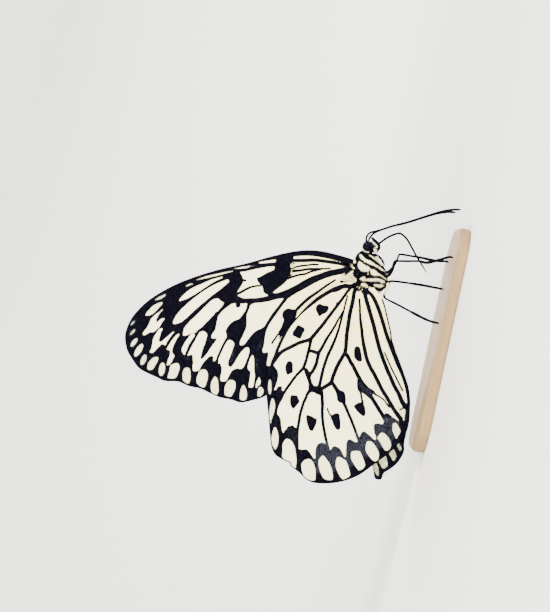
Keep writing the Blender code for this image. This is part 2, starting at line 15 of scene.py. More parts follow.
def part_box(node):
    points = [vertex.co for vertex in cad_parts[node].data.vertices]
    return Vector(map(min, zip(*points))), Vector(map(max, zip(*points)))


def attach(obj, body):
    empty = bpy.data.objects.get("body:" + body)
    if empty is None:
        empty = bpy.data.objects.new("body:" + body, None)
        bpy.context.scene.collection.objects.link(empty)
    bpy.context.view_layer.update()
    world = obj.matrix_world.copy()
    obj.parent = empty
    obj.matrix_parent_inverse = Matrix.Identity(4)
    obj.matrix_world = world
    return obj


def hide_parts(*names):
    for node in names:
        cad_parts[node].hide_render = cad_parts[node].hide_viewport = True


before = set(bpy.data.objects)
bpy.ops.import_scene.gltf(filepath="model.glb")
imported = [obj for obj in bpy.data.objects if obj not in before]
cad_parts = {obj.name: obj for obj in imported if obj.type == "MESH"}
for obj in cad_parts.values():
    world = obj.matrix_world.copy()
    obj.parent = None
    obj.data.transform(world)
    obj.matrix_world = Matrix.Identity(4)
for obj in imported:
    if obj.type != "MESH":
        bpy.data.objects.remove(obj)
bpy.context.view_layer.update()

MM = 0.001
RIGHT, LEFT = -1, 1
SIDES = ((RIGHT, "right"), (LEFT, "left"))

# How the picture lies over the model
PICTURE = (550, 612)
FOREWING_LENGTH = 66.0 * MM
PIXEL = FOREWING_LENGTH / math.dist((354.0, 262.0), (126.0, 335.0))
FLOOR_POINT = (461.0, 211.0)
FLOOR_LEAN = math.radians(12.0)
FLOOR_POINT_X = 36.0 * MM
BASE_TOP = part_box("stand_base")[1][2]
CAMERA_DISTANCE = 0.6
SENSOR = 36.0

# The wing sheets, with distances within them in the picture's pixels
GRID = 0.66
# Shares of a grid step, for the points kept, those moved onto the edge and the faces kept
KEEP_OUTSIDE, SNAP_INSIDE, LEAST_INSIDE = 0.8, 0.2, 0.3
LEAST_QUAD, LEAST_TRIANGLE = 0.10, 0.04
MEMBRANE_HALF = 0.10 * MM
EDGE_HALF = 0.05 * MM
EDGE_TAPER = 3.0
RIDGE_HEIGHT = 0.10 * MM
RIDGE_WIDTH = 0.95
PLEAT_DEPTH = 0.10 * MM
PLEAT_REACH = 6.0
FAR_FROM_VEINS = 20.0
WAVE_DEPTH = 0.10 * MM
# Each wave's size and seed, and how the waves calm towards the edge
BROAD_WAVE, FINE_WAVE = (14.0, 3.0), (5.0, 8.0)
WAVE_EDGE, WAVE_LEAST = 12.0, 0.2

# How deep black or cream is counted, and how far scales, tints and tones spread, in the picture's pixels
DEEP = 5.0
WING_BLEED = 0.42
LINE_SPREAD = 0.26
BODY_BLEED = 0.15
TINT_EDGE = 2.0
TONE_REACH = 0.8

# The body's skin and coat
COAT_DEPTH = 0.10 * MM
SKIN_VOXEL = 0.11 * MM
LEAST_HALF = 0.03 * MM
WAIST, WAIST_SLOPE = (372.0, 293.5), 0.35
NECK, REAR = 252.5, 294.0
COAT_COUNT, COAT_SEED, REAR_SHARE = 15000, 11, 0.45
# Hair on each part: its length, width and lift
HEAD_HAIR = (0.22 * MM, 0.060 * MM, 0.20)
REAR_HAIR = (0.30 * MM, 0.085 * MM, 0.10)
THORAX_HAIR = (0.42 * MM, 0.085 * MM, 0.20)

# A tuft's points, as shares: along its length, of its lift, to the side and up
TUFT_POINTS = (
    (0.0, 0.0, -0.5, 0.0), (0.0, 0.0, 0.0, 0.4), (0.0, 0.0, 0.5, 0.0),
    (0.5, 0.6, -0.4, 0.0), (0.5, 0.6, 0.0, 0.3), (0.5, 0.6, 0.4, 0.0), (1.0, 0.7, 0.0, 0.0),
)
TUFT_FACES = ((0, 1, 2), (0, 3, 4, 1), (1, 4, 5, 2), (2, 5, 3, 0), (3, 6, 4), (4, 6, 5), (5, 6, 3))
TUFT_ROOT = 0.04 * MM
TUFT_PATCH = 0.003

# Hair at the wings' roots, and the legs' bristles and claws
WING_ROOT = (371.0, 278.0)
HAIR_RISE = 0.14 * MM
HAIR_LENGTHS, HAIR_WIDTH, HAIR_LIFTS = (0.35, 0.8), 0.05 * MM, (0.05, 0.2)
BRISTLE_STEPS, BRISTLE_START, BRISTLES_EACH = 10, 12, 3
BRISTLE_ROOT = 0.92
BRISTLE_LENGTHS, BRISTLE_WIDTH, BRISTLE_LIFT = (0.14 * MM, 0.26 * MM), 0.035 * MM, 0.35
CLAW_LENGTH, CLAW_WIDTH, CLAW_LIFT = 0.42 * MM, 0.09 * MM, -0.1
CLAW_HEIGHT, CLAW_GAP, CLAW_SPREAD = 0.12 * MM, 0.08 * MM, 0.8

# Sizes on the baking map, and the body's axis in the picture, down and across
MAP_MARGIN = 0.01
WING_MAP_SIZE, SMALL_MAP_SIZE, BODY_MAP_SIZE = 0.48, 0.47, 0.97
BODY_FRONT, BODY_LENGTH = 238.0, 145.0
BODY_AXIS = ((240, 368), (250, 367), (271, 368.4), (285, 374), (315, 377.4), (350, 384), (381, 393))

# Colour: how fine each kind of noise is, how ragged an edge, and where the strong cream fades outwards
FRAY_SCALE, CLOUD_SCALE, MOTTLE_SCALE, DUST_SCALE, GRAIN_SCALE = 3600.0, 190.0, 1500.0, 4200.0, 7000.0
FACET_SCALE = 16000.0
FRAY = 1.1
CREAM_CENTRE, CREAM_FADE, CLOUD_REACH = (360.0, 285.0), (12.0 * MM, 34.0 * MM), 0.03
EYE_NAVY, EYE_BLUER = (0.0004, 0.0004, 0.0030, 1), (0.0012, 0.0010, 0.0050, 1)
WOOD_PALE, WOOD_BROWN, WOOD_DARK = (0.30, 0.20, 0.10, 1), (0.22, 0.14, 0.065, 1), (0.15, 0.085, 0.04, 1)

# Light: the sky's colour and strength, and each lamp's name, place, size, power and colour
SKY = ((1.0, 1.0, 0.99, 1.0), 1.2)
LAMPS = (
    ("key", (0.75, -0.75, 0.55), 0.5, 33.0, (1.0, 0.955, 0.87)),
    ("fill", (-0.45, -0.9, 0.45), 0.8, 20.0, (1.0, 0.965, 0.89)),
    ("back", (0.2, 0.9, 0.7), 0.8, 18.0, (1.0, 1.0, 1.0)),
)
LAMP_TARGET = (0.0, 0.0, 0.04)


def curve_value(a, b, c, d, t):
    return 0.5 * (2 * b + (c - a) * t + (2 * a - 5 * b + 4 * c - d) * t * t + (3 * b - a - 3 * c + d) * t**3)


def smooth(rows, steps=3, closed=False):
    """The rows with a smooth curve of this many steps through each span."""
    rows = np.array(rows, float)
    count = len(rows)
    spans = range(count if closed else count - 1)
    made = []
    for i in spans:
        if closed:
            picks = [rows[(i + k) % count] for k in (-1, 0, 1, 2)]
        else:
            picks = [rows[min(max(i + k, 0), count - 1)] for k in (-1, 0, 1, 2)]
        made += [curve_value(*picks, step / steps) for step in range(steps)]
    if not closed:
        made.append(rows[-1])
    return np.array(made)


# A mark is its colour, kind, points and tone, which runs from clean at 0 to grey-green or dusty at 1; in
# some marks the grey-green is painted shade
BLACK_MARK, CREAM_MARK, TINT_MARK, DUST_MARK = "black", "cream", "tint", "dust"


def ink(*points):
    return (BLACK_MARK, "shape", smooth(points, 3, True), 0.0)


def cream(*points, tone=0.0):
    return (CREAM_MARK, "shape", smooth(points, 3, True), tone)


def ink_line(*points):
    return (BLACK_MARK, "line", smooth(points), 0.0)


def edge_line(half, points):
    return ink_line(*[(across, down, half) for across, down in points])


def cream_line(*points, tone=0.0):
    return (CREAM_MARK, "line", smooth(points), tone)


def cream_oval(across, down, half_long, half_short, turn, tone=0.0):
    """An oval spot whose long axis is turned this many degrees up from level."""
    c, s = math.cos(math.radians(turn)), math.sin(math.radians(turn))
    ring = []
    for k in range(16):
        a, b = half_long * math.cos(k * math.pi / 8), half_short * math.sin(k * math.pi / 8)
        ring.append((across + a * c + b * s, down - a * s + b * c))
    return (CREAM_MARK, "shape", np.array(ring), tone)


def tint(*points, tone):
    return (TINT_MARK, "shape", smooth(points, 3, True), tone)


def dust(*points, tone):
    return (DUST_MARK, "shape", smooth(points, 3, True), tone)


def tint_line(*points, tone):
    return (TINT_MARK, "line", smooth(points), tone)


# Outlines
FOREWING_EDGE = [
    (362, 264), (352, 259), (337, 254.5), (322, 251), (308, 250), (292, 251.5), (270, 256.5), (245, 263.5),
    (220, 269), (195, 276.5), (175, 284.5), (160, 292.5), (148, 300.5), (138, 310), (131, 319),
    (126.5, 329), (125, 338), (127, 349.5), (132, 358.5), (138.5, 367.5), (147, 372.7), (156, 376.7),
    (165, 380.8), (178, 381.4), (189, 386), (200, 388.3), (210, 393), (220, 397.2), (231, 399.3),
    (241, 402.4), (254, 399.7), (265, 396), (275, 387), (292, 366), (311, 338), (330, 311), (344, 293),
    (352, 285), (361, 281),
]
FOREWING_OUTLINE = smooth(FOREWING_EDGE, 4, True)
LEADING_EDGE = [
    (367, 281.5), (356, 282.6), (348, 282.5), (340, 283.5), (324, 291.5), (308, 304.5), (296, 317.5),
    (283, 333.5), (275.5, 349), (270, 364.5),
]
MARGIN_RIGHT = [
    (266.5, 377), (266.2, 392), (268, 412), (269.5, 430), (271.3, 446), (275.5, 454.5), (283, 459.3),
    (289.5, 462.4), (291, 466), (299, 472), (306, 478.8), (314, 482.3), (328, 483), (342, 481), (356, 476),
    (366, 469.8), (375, 462.7), (384, 456.4), (394, 447.6), (401, 439.6), (405, 433), (408, 426),
    (409.4, 412), (409.9, 401), (409, 391), (407.4, 384), (404.5, 375.5), (401.5, 367.5), (397.5, 357.5),
    (393.6, 349), (391.8, 340), (390.6, 331), (388, 320), (385.2, 308), (382.4, 299.5),
]
MARGIN_LEFT = [
    (268, 377), (268, 392), (269.5, 412), (271, 430), (273, 445), (277, 452.5), (284, 457), (292, 462),
    (300, 470), (307, 476.2), (315, 479.6), (328, 480.4), (341, 478.5), (354, 474), (364, 469),
    (371.5, 465), (373.5, 471.5), (375.2, 478.8), (381.4, 479.6), (384, 473.4), (391, 469), (399, 461.5),
    (404.3, 451.5), (404.6, 443), (406.6, 434), (409.4, 423), (410.4, 411), (410.4, 400), (409.4, 391),
    (407.8, 384), (404.4, 373), (400.8, 362.5), (396.8, 351), (393.4, 342), (391.2, 333), (388.4, 321.5),
    (385.6, 309.5), (382.8, 300),
]
ROOT_EDGE = [(379.6, 294.6), (375.6, 290.8), (372, 286)]
HINDWING_OUTLINES = {
    RIGHT: smooth(LEADING_EDGE + MARGIN_RIGHT + ROOT_EDGE, 4, True),
    LEFT: smooth(LEADING_EDGE + MARGIN_LEFT + ROOT_EDGE, 4, True),
}
INNER_MARGIN = MARGIN_RIGHT[:-7:-1]
OUTER_MARGIN = MARGIN_RIGHT[::-1] + [(270, 364.5)]

# Forewing: black ground, cream cells between the veins
FOREWING_VEINS = [
    ink_line((348, 268.5, 1.8), (342, 270, 1.7), (335, 271.5, 1.9), (328, 273.5, 2.4), (320, 276.5, 2.5),
        (312, 279.5, 2.6), (305, 283, 2.5), (298, 287, 2.4), (290, 290.5, 1.8), (282, 293.5, 1.6),
        (275, 295.5, 1.4), (268, 297.5, 1.4), (260, 299.3, 1.3), (250, 300, 1.4), (243, 300, 1.5),
        (236, 297, 1.6)),
    ink_line((287, 297, 1.2), (283, 302, 1.1), (278, 308.5, 1), (273, 315, 1), (269, 321, 0.9),
        (266, 326, 0.9)),
    ink_line((236, 294, 0.9), (240, 292.5, 0.8), (245, 289.7, 0.7), (250, 287.3, 0.55), (255, 286, 0.4),
        (260, 285.5, 0.3)),
    ink_line((197, 334, 0.5), (194, 338.5, 0.45), (191, 343, 0.45), (188.5, 348, 0.45), (186.5, 353, 0.45)),
    ink_line((227, 338.5, 0.8), (224.5, 343, 0.7), (222, 348, 0.7), (219.5, 353.5, 0.7),
        (217.5, 358.5, 0.7)),
    ink_line((249, 301, 1.1), (248.5, 305, 1), (247.5, 309, 0.9), (246, 312.5, 0.9)),
    ink_line((175.5, 332, 0.6), (171, 338, 0.6), (167.5, 343.5, 0.6), (166, 348, 0.7)),
    ink_line((335, 280, 0.4), (327, 285, 0.6), (318, 291.5, 0.8), (310, 297, 1), (303, 303, 1),
        (297, 309, 1)),
    ink_line((343, 264.5, 0.9), (335, 262.7, 1.2), (325, 261.2, 1.2), (315, 260, 1.2), (305, 260.3, 1.2),
        (293, 260.5, 1.2)),
    ink_line((275, 264.5, 1.1), (268, 265, 1.1), (260, 266.3, 1.1), (250, 268.2, 1.2)),
]
FOREWING_MARKS = [
    cream_line((294, 258, 1.9), (308, 257, 1.7), (320, 258, 1.2), (333, 260.2, 0.8), (344, 263, 0.3)),
    ink((289, 253), (293, 253), (293.2, 258), (293, 262), (289, 262)),
    cream((290, 262), (305, 261.5), (315, 261.2), (325, 262.4), (335, 264), (343, 265.7), (347.5, 267.2),
        (342, 268.6), (335, 269.8), (328, 271.3), (320, 274.2), (312, 277), (305, 280.4), (298, 284.6),
        (290, 288.6), (283, 291.4), (276, 293.2), (270, 290), (278, 275)),
    ink((276, 256.5), (275.5, 262), (274.5, 266), (274.5, 270), (272, 271), (266, 273.5), (260, 277),
        (257, 278), (258, 281), (260.5, 284.5), (263, 287), (263.5, 291), (265, 293), (268, 294.4),
        (272, 293), (274.5, 290.5), (279, 287), (284, 283), (287, 279.5), (288.5, 276), (291, 271),
        (290, 265), (292, 262), (293, 258), (292.8, 254)),
    ink_line((295, 267, 0.3), (300, 266, 0.45), (308, 265, 0.4), (313, 264.3, 0.35), (318, 264.5, 0.3)),
    ink_line((293, 271, 0.9), (300, 270.3, 0.8), (308, 269, 0.6), (315, 268.8, 0.5), (322, 268.8, 0.4),
        (330, 268.3, 0.3)),
    ink_line((288, 278, 0.7), (293, 276.5, 0.6), (300, 274.5, 0.55), (305, 274, 0.5), (310, 271.8, 0.45),
        (314, 270.7, 0.4), (320, 269.5, 0.3)),
    cream((258, 262.5), (262, 261.2), (266, 260.5), (273, 259.3), (276, 259.5), (275, 262.5), (268, 263),
        (260, 263.6)),
    cream((240, 272), (245, 271), (252, 269.5), (258, 268), (265, 266.5), (273.8, 265.8), (274.2, 269.4),
        (271.5, 271), (266, 273.5), (260, 277), (257, 278), (258, 281), (260.5, 284.5), (263, 287),
        (263.5, 291), (265, 293), (268, 294.5), (267, 296.2), (260, 298), (252, 298.9), (245, 298.8),
        (240, 298), (235.5, 295.5), (236.8, 292.5), (237.8, 290.5), (240, 287), (242.5, 283), (243, 279.5),
        (242, 276)),
    ink_line((241, 280, 1), (243.4, 280.2, 0.7), (245.6, 280.4, 0.4)),
    cream_line((234, 268.5, 0.5), (240, 267.8, 1), (248, 266.8, 1.1), (257, 265.6, 0.6), tone=0.2),
    cream_line((197, 279.7, 0.5), (206, 277.2, 1.2), (218, 274.3, 1.2), (232.5, 271, 0.6), tone=0.2),
    cream_line((186, 286, 0.7), (189, 284.8, 1), (192.6, 283.7, 0.7), tone=0.5),
    cream_line((222, 277.3, 0.9), (213, 280.5, 1.8), (203, 285.8, 2.8), (194, 290.8, 3.6), (186, 296, 3),
        (180, 300, 1.2)),
    cream_line((227.5, 281, 1.9), (219, 286, 3.6), (210.3, 291.5, 4.4), (199, 300, 5), (188, 309.5, 5.2),
        (179.5, 318, 4.6), (174.5, 322.5, 1.8)),
    cream((213, 299), (218, 298), (221, 300.5), (224, 302.5), (223.5, 304.5), (220, 309), (216, 313),
        (209, 320), (205, 324), (201, 328), (198, 330), (196, 332.5), (191, 333.5), (186, 335.5),
        (182.8, 335.5), (183.5, 330), (184.5, 327), (190, 320.5), (195, 316), (200, 311), (205, 306),
        (209, 302)),
    cream_line((193, 335, 2.2), (192, 337, 3), (188, 343, 3.2), (184.5, 349, 3), (184.2, 352.5, 1.6),
        (184.5, 354.5, 0.6)),
    cream((200, 331.5), (203, 330.5), (206, 332), (207.5, 335), (206.5, 339), (205, 344), (203, 349),
        (201.5, 355), (201, 358.5), (203.5, 357), (207, 353), (210, 348), (213, 344), (216, 340),
        (216, 338.5), (213, 338.5), (211, 337), (212.5, 333), (215, 329.5), (216, 325), (217, 320),
        (218, 316), (221, 312), (224, 309), (228, 306), (232, 303.3), (237, 302.8), (241, 303.2),
        (247.3, 303), (247.5, 305), (246.5, 309), (244, 313), (241, 317), (238.5, 319.3), (234, 321),
        (230, 324), (227.5, 327.5), (226, 331), (226.8, 336), (225.5, 340.5), (223, 345), (220, 350),
        (218, 355), (217, 358.5), (215, 361), (213, 360.5), (213, 357), (211, 356), (209, 357), (206, 360),
        (203, 363.5), (200.5, 368), (199, 370.3), (196.5, 371), (194, 371.3), (192.5, 369.5), (192.5, 366),
        (193, 362), (192.5, 358), (192, 355), (190, 355), (187.8, 356), (187.5, 354.5), (189.5, 350),
        (192, 345), (195, 340), (197.5, 335)),
    ink_line((238, 301, 1.9), (238, 305.2, 1.8)),
    ink((217.6, 311.5), (216, 316), (213.5, 320), (209.5, 325), (205, 329), (200, 331.6), (197.5, 330.8),
        (202, 327.6), (207, 323), (212.5, 317), (215.5, 312.6)),
    cream((252, 303.5), (256, 302.5), (262, 302), (270, 300.5), (278, 298.5), (283, 298), (283, 300),
        (280, 304), (276, 310), (272, 316), (268, 322), (266, 325), (262, 328), (258, 330), (254, 332.5),
        (251, 336), (247, 341), (245, 344), (242, 345.3), (239.8, 344.5), (240, 341), (242, 336.5),
        (245, 330), (246.5, 324), (246.5, 315), (247.5, 310), (249.5, 306)),
    cream((228, 340), (225, 343), (222.5, 347), (220.5, 351.5), (219, 356), (218, 361), (218.3, 363.5),
        (220, 363.5), (221, 366), (221.5, 371), (220.5, 375), (220, 379), (221.5, 381.5), (224, 381.5),
        (226.5, 380.5), (228, 378), (230, 374), (232, 371), (235, 369), (238, 368.5), (241, 369),
        (244, 366.5), (246, 362), (248, 357), (249.5, 352), (249.5, 348.5), (247.5, 346.5), (244.5, 348),
        (241.5, 351), (238, 356), (235, 361), (232, 365.5), (230, 366.5), (228.3, 364), (229, 360),
        (231, 355), (233, 349), (234.5, 344), (233, 341), (230.5, 339.5)),
    cream((286, 300), (281, 307), (276, 314), (271, 321), (267.5, 327), (265.5, 333), (264.5, 339),
        (263.5, 346), (262, 350.5), (264, 353), (267, 352), (268, 354), (267, 360), (266.5, 365),
        (269, 366), (280, 368), (300, 350), (330, 310), (352, 286), (345, 275), (335, 275), (320, 280),
        (305, 288), (294, 294)),
    ink_line((279, 333, 0.4), (276, 337, 0.4), (272, 343, 0.4)),
    ink((283, 312), (284.5, 310.5), (288, 308.5), (293, 309.5), (297, 309.5), (296.5, 313), (295.5, 317.5),
        (294, 321), (290, 326), (286, 331), (283, 335), (281, 338.5), (279.5, 338), (279.5, 334),
        (278.5, 332), (281, 328), (283, 323), (284, 319.5), (282.5, 316)),
    cream((252.5, 354.5), (254, 357), (254.5, 362), (254.3, 368), (255, 373), (255, 378), (254, 384),
        (253, 387.3), (249, 387.5), (248.3, 385), (249.5, 378), (250, 372), (248, 369.5), (247.3, 367),
        (248.5, 362), (250, 357.5)),
    cream((259, 376.5), (260.5, 379), (261, 382), (260, 384.5), (258, 386), (257, 388), (255.5, 387.5),
        (255.5, 384.5), (256.5, 381)),
    cream_line((156, 299.5, 0.7), (160.5, 297.5, 1.6), (165, 295, 1), tone=0.9),
    cream_line((161.5, 303, 1.3), (156, 307, 3), (150.5, 312, 3), (146, 315, 1), tone=0.3),
    cream((162, 309), (159, 311.5), (155, 314.5), (151, 318.5), (149.5, 322), (147, 327), (143.5, 331.5),
        (142.5, 334), (144.5, 335.5), (148, 333.5), (150.5, 332.3), (154, 332), (157, 329.5), (160, 326.5),
        (162, 323), (164.5, 319.5), (165, 318), (163, 317.8), (160, 319), (157.5, 321.5), (156.5, 321),
        (157.8, 317), (160, 313.5), (163.5, 309.5)),
    cream((162, 327.5), (159, 329), (156, 333), (153.5, 337), (152.5, 341), (152, 345), (151, 348.5),
        (149.5, 351.5), (151, 353), (153.5, 352.5), (156, 350), (159, 347), (161.5, 344.5), (163, 344.3),
        (165.5, 345.3), (168, 343), (170, 340), (174, 333), (174, 331), (172, 332), (168, 335.5),
        (164, 339), (160.5, 341.5), (159.3, 340), (160, 337), (161.5, 332), (163, 328.5)),
    cream((179.5, 333.5), (177, 334), (174, 337), (171, 341), (168.5, 345), (166, 349.5), (169, 350),
        (170, 352), (169.5, 355), (168, 359), (167, 363), (166.5, 365), (169, 365), (171.5, 362.5),
        (173.5, 358.5), (174.8, 355.5), (173, 353), (172.5, 350), (174, 345), (176.5, 340), (179, 336)),
    cream_oval(132.9, 322.8, 3.2, 1.15, 48, tone=1.0),
    cream_oval(132.7, 332.0, 3.9, 1.5, 48, tone=0.95),
    cream_oval(134.2, 342.2, 5.5, 2.3, 54, tone=0.55),
    cream_oval(138.8, 350, 7.6, 3.1, 58, tone=0.25),
    cream_oval(143.6, 359.6, 5.9, 2.8, 68, tone=0.6),
    cream((156, 356.5), (158.5, 357), (158, 361), (155, 366), (152.5, 369.5), (149, 370), (147, 368),
        (147.5, 364), (150, 360), (153, 357.5), tone=0.4),
    cream_oval(162, 369, 7.0, 3.4, 82, tone=0.4),
    cream((171, 364.5), (176, 362.5), (178.5, 363), (180, 366), (179.5, 369.5), (178, 374), (176, 377.5),
        (172.5, 378.5), (168, 378), (167.5, 376), (169, 371), (170, 366.5), tone=0.3),
    cream((184, 368.5), (187, 367), (189.5, 368), (190.8, 371), (191, 376), (190.5, 380), (189, 383.5),
        (186, 383), (183, 380.5), (182.3, 377), (182.5, 372.5), tone=0.4),
    cream((201, 369.5), (205, 369), (207.5, 371.5), (208.3, 375), (207.5, 380), (205.5, 386), (203, 387.5),
        (199, 385.5), (196.3, 382), (196.5, 377.5), (198.5, 372), tone=0.3),
    cream((215, 376), (217.5, 378), (218.5, 383), (219, 389), (217.5, 394), (214, 394), (211.3, 391.5),
        (210.5, 387), (211, 382), (213, 378), tone=0.4),
    cream((228, 380.5), (231, 379.3), (234.5, 380.5), (236, 384), (235.3, 389), (233.5, 393), (231, 396.8),
        (227, 396), (224.3, 394), (224.3, 389), (225.5, 384), tone=0.3),
    cream((243.5, 384.3), (245.5, 386.5), (247, 391), (247.2, 396), (246, 399.5), (242.5, 400.5),
        (240, 399.5), (239.5, 396), (240, 391), (241.5, 386.5), tone=0.4),
    cream((259, 386.5), (262, 387), (263.8, 390), (263, 394), (260, 396.5), (257.5, 396), (257.3, 391.5),
        tone=0.4),
    ink((350, 281), (350, 287), (343, 287), (340, 284.5), (344, 281)),
    cream((357, 270), (357, 280), (352, 284), (345, 283), (340, 280), (341, 275), (347, 272)),
    ink_line((357, 266, 1.6), (348, 265.2, 1.2), (343, 264.6, 0.9)),
    # The root of the wing
    ink_line((355.6, 257.6, 2.2), (356.4, 263, 1.5), (354.6, 266.5, 1), (355.2, 270, 1.7),
        (354.8, 274.6, 1.3), (357.4, 277.8, 1.3), (359.4, 281.2, 1.3), (360, 285, 1.2)),
    cream((353, 260), (355.4, 259.6), (355.8, 262.6), (354.2, 263.8), (353, 262.8), tone=0.05),
    cream((351, 264), (352.6, 263.8), (352.8, 266), (354.6, 267.8), (353.8, 269.6), (351.4, 267.6),
        tone=0.2),
    ink_line((345.4, 274.6, 0.4), (347.2, 272.8, 0.7), (349.4, 271.2, 0.6)),
    ink_line((340.4, 281.2, 0.4), (343.4, 282.2, 0.8), (346.6, 283.8, 1)),
    ink_line((350.6, 276.4, -0.4), (353, 279, -0.3), (357.4, 280.4, -0.5)),
    tint((343.5, 263), (350, 262.6), (350.6, 267.4), (343.6, 268), tone=0.7),
    tint((348.4, 275), (351.6, 275.4), (354.6, 279.6), (351.6, 279.8), tone=0.4),
    tint((345, 279.4), (349, 279), (350, 281.6), (346.6, 282.4), tone=0.25),
    # Grey-green scales beside the black
    ink_line((292.6, 263.4, 0.1), (297, 263, -0.6)),
    ink_line((292.2, 268.4, 0.3), (296.6, 267.6, -0.6)),
    ink_line((289.4, 275.2, 0.4), (293.8, 273.6, -0.6)),
    tint((290, 261.5), (294, 261.5), (294.6, 267), (292.6, 273), (289.4, 279), (286.4, 280.4), (288.6, 274),
        tone=0.8),
    tint((160, 311), (165.4, 306.4), (167.2, 309), (163, 315.4), (159.4, 318), tone=0.85),
    tint((160.6, 325.6), (164.8, 317.8), (167.4, 319), (164, 326.6), tone=0.6),
    tint((154, 301), (160, 294), (168, 293), (164, 300), tone=0.6),
    tint((262, 306.6), (266, 306.6), (267, 309.4), (264, 311.6), (261.6, 310), tone=0.28),
    tint((193, 330), (198, 330), (198, 334), (193, 334), tone=0.3),
    tint((222, 301), (229, 305), (224, 310), (219, 310), tone=0.25),
    edge_line(0.75, FOREWING_EDGE[13:33]),
    # Stray pale scales in the black
    cream_line((234.6, 349.6, 0.1), (232.6, 356, 0.3), (230.8, 363, 0.1), tone=0.5),
    cream_line((257.6, 358, 0.1), (256.8, 363, 0.3), (257.4, 369, 0.1), tone=0.5),
    cream_line((262.2, 341, 0.1), (259.6, 345.6, 0.25), (257.2, 350, 0.1), tone=0.5),
]

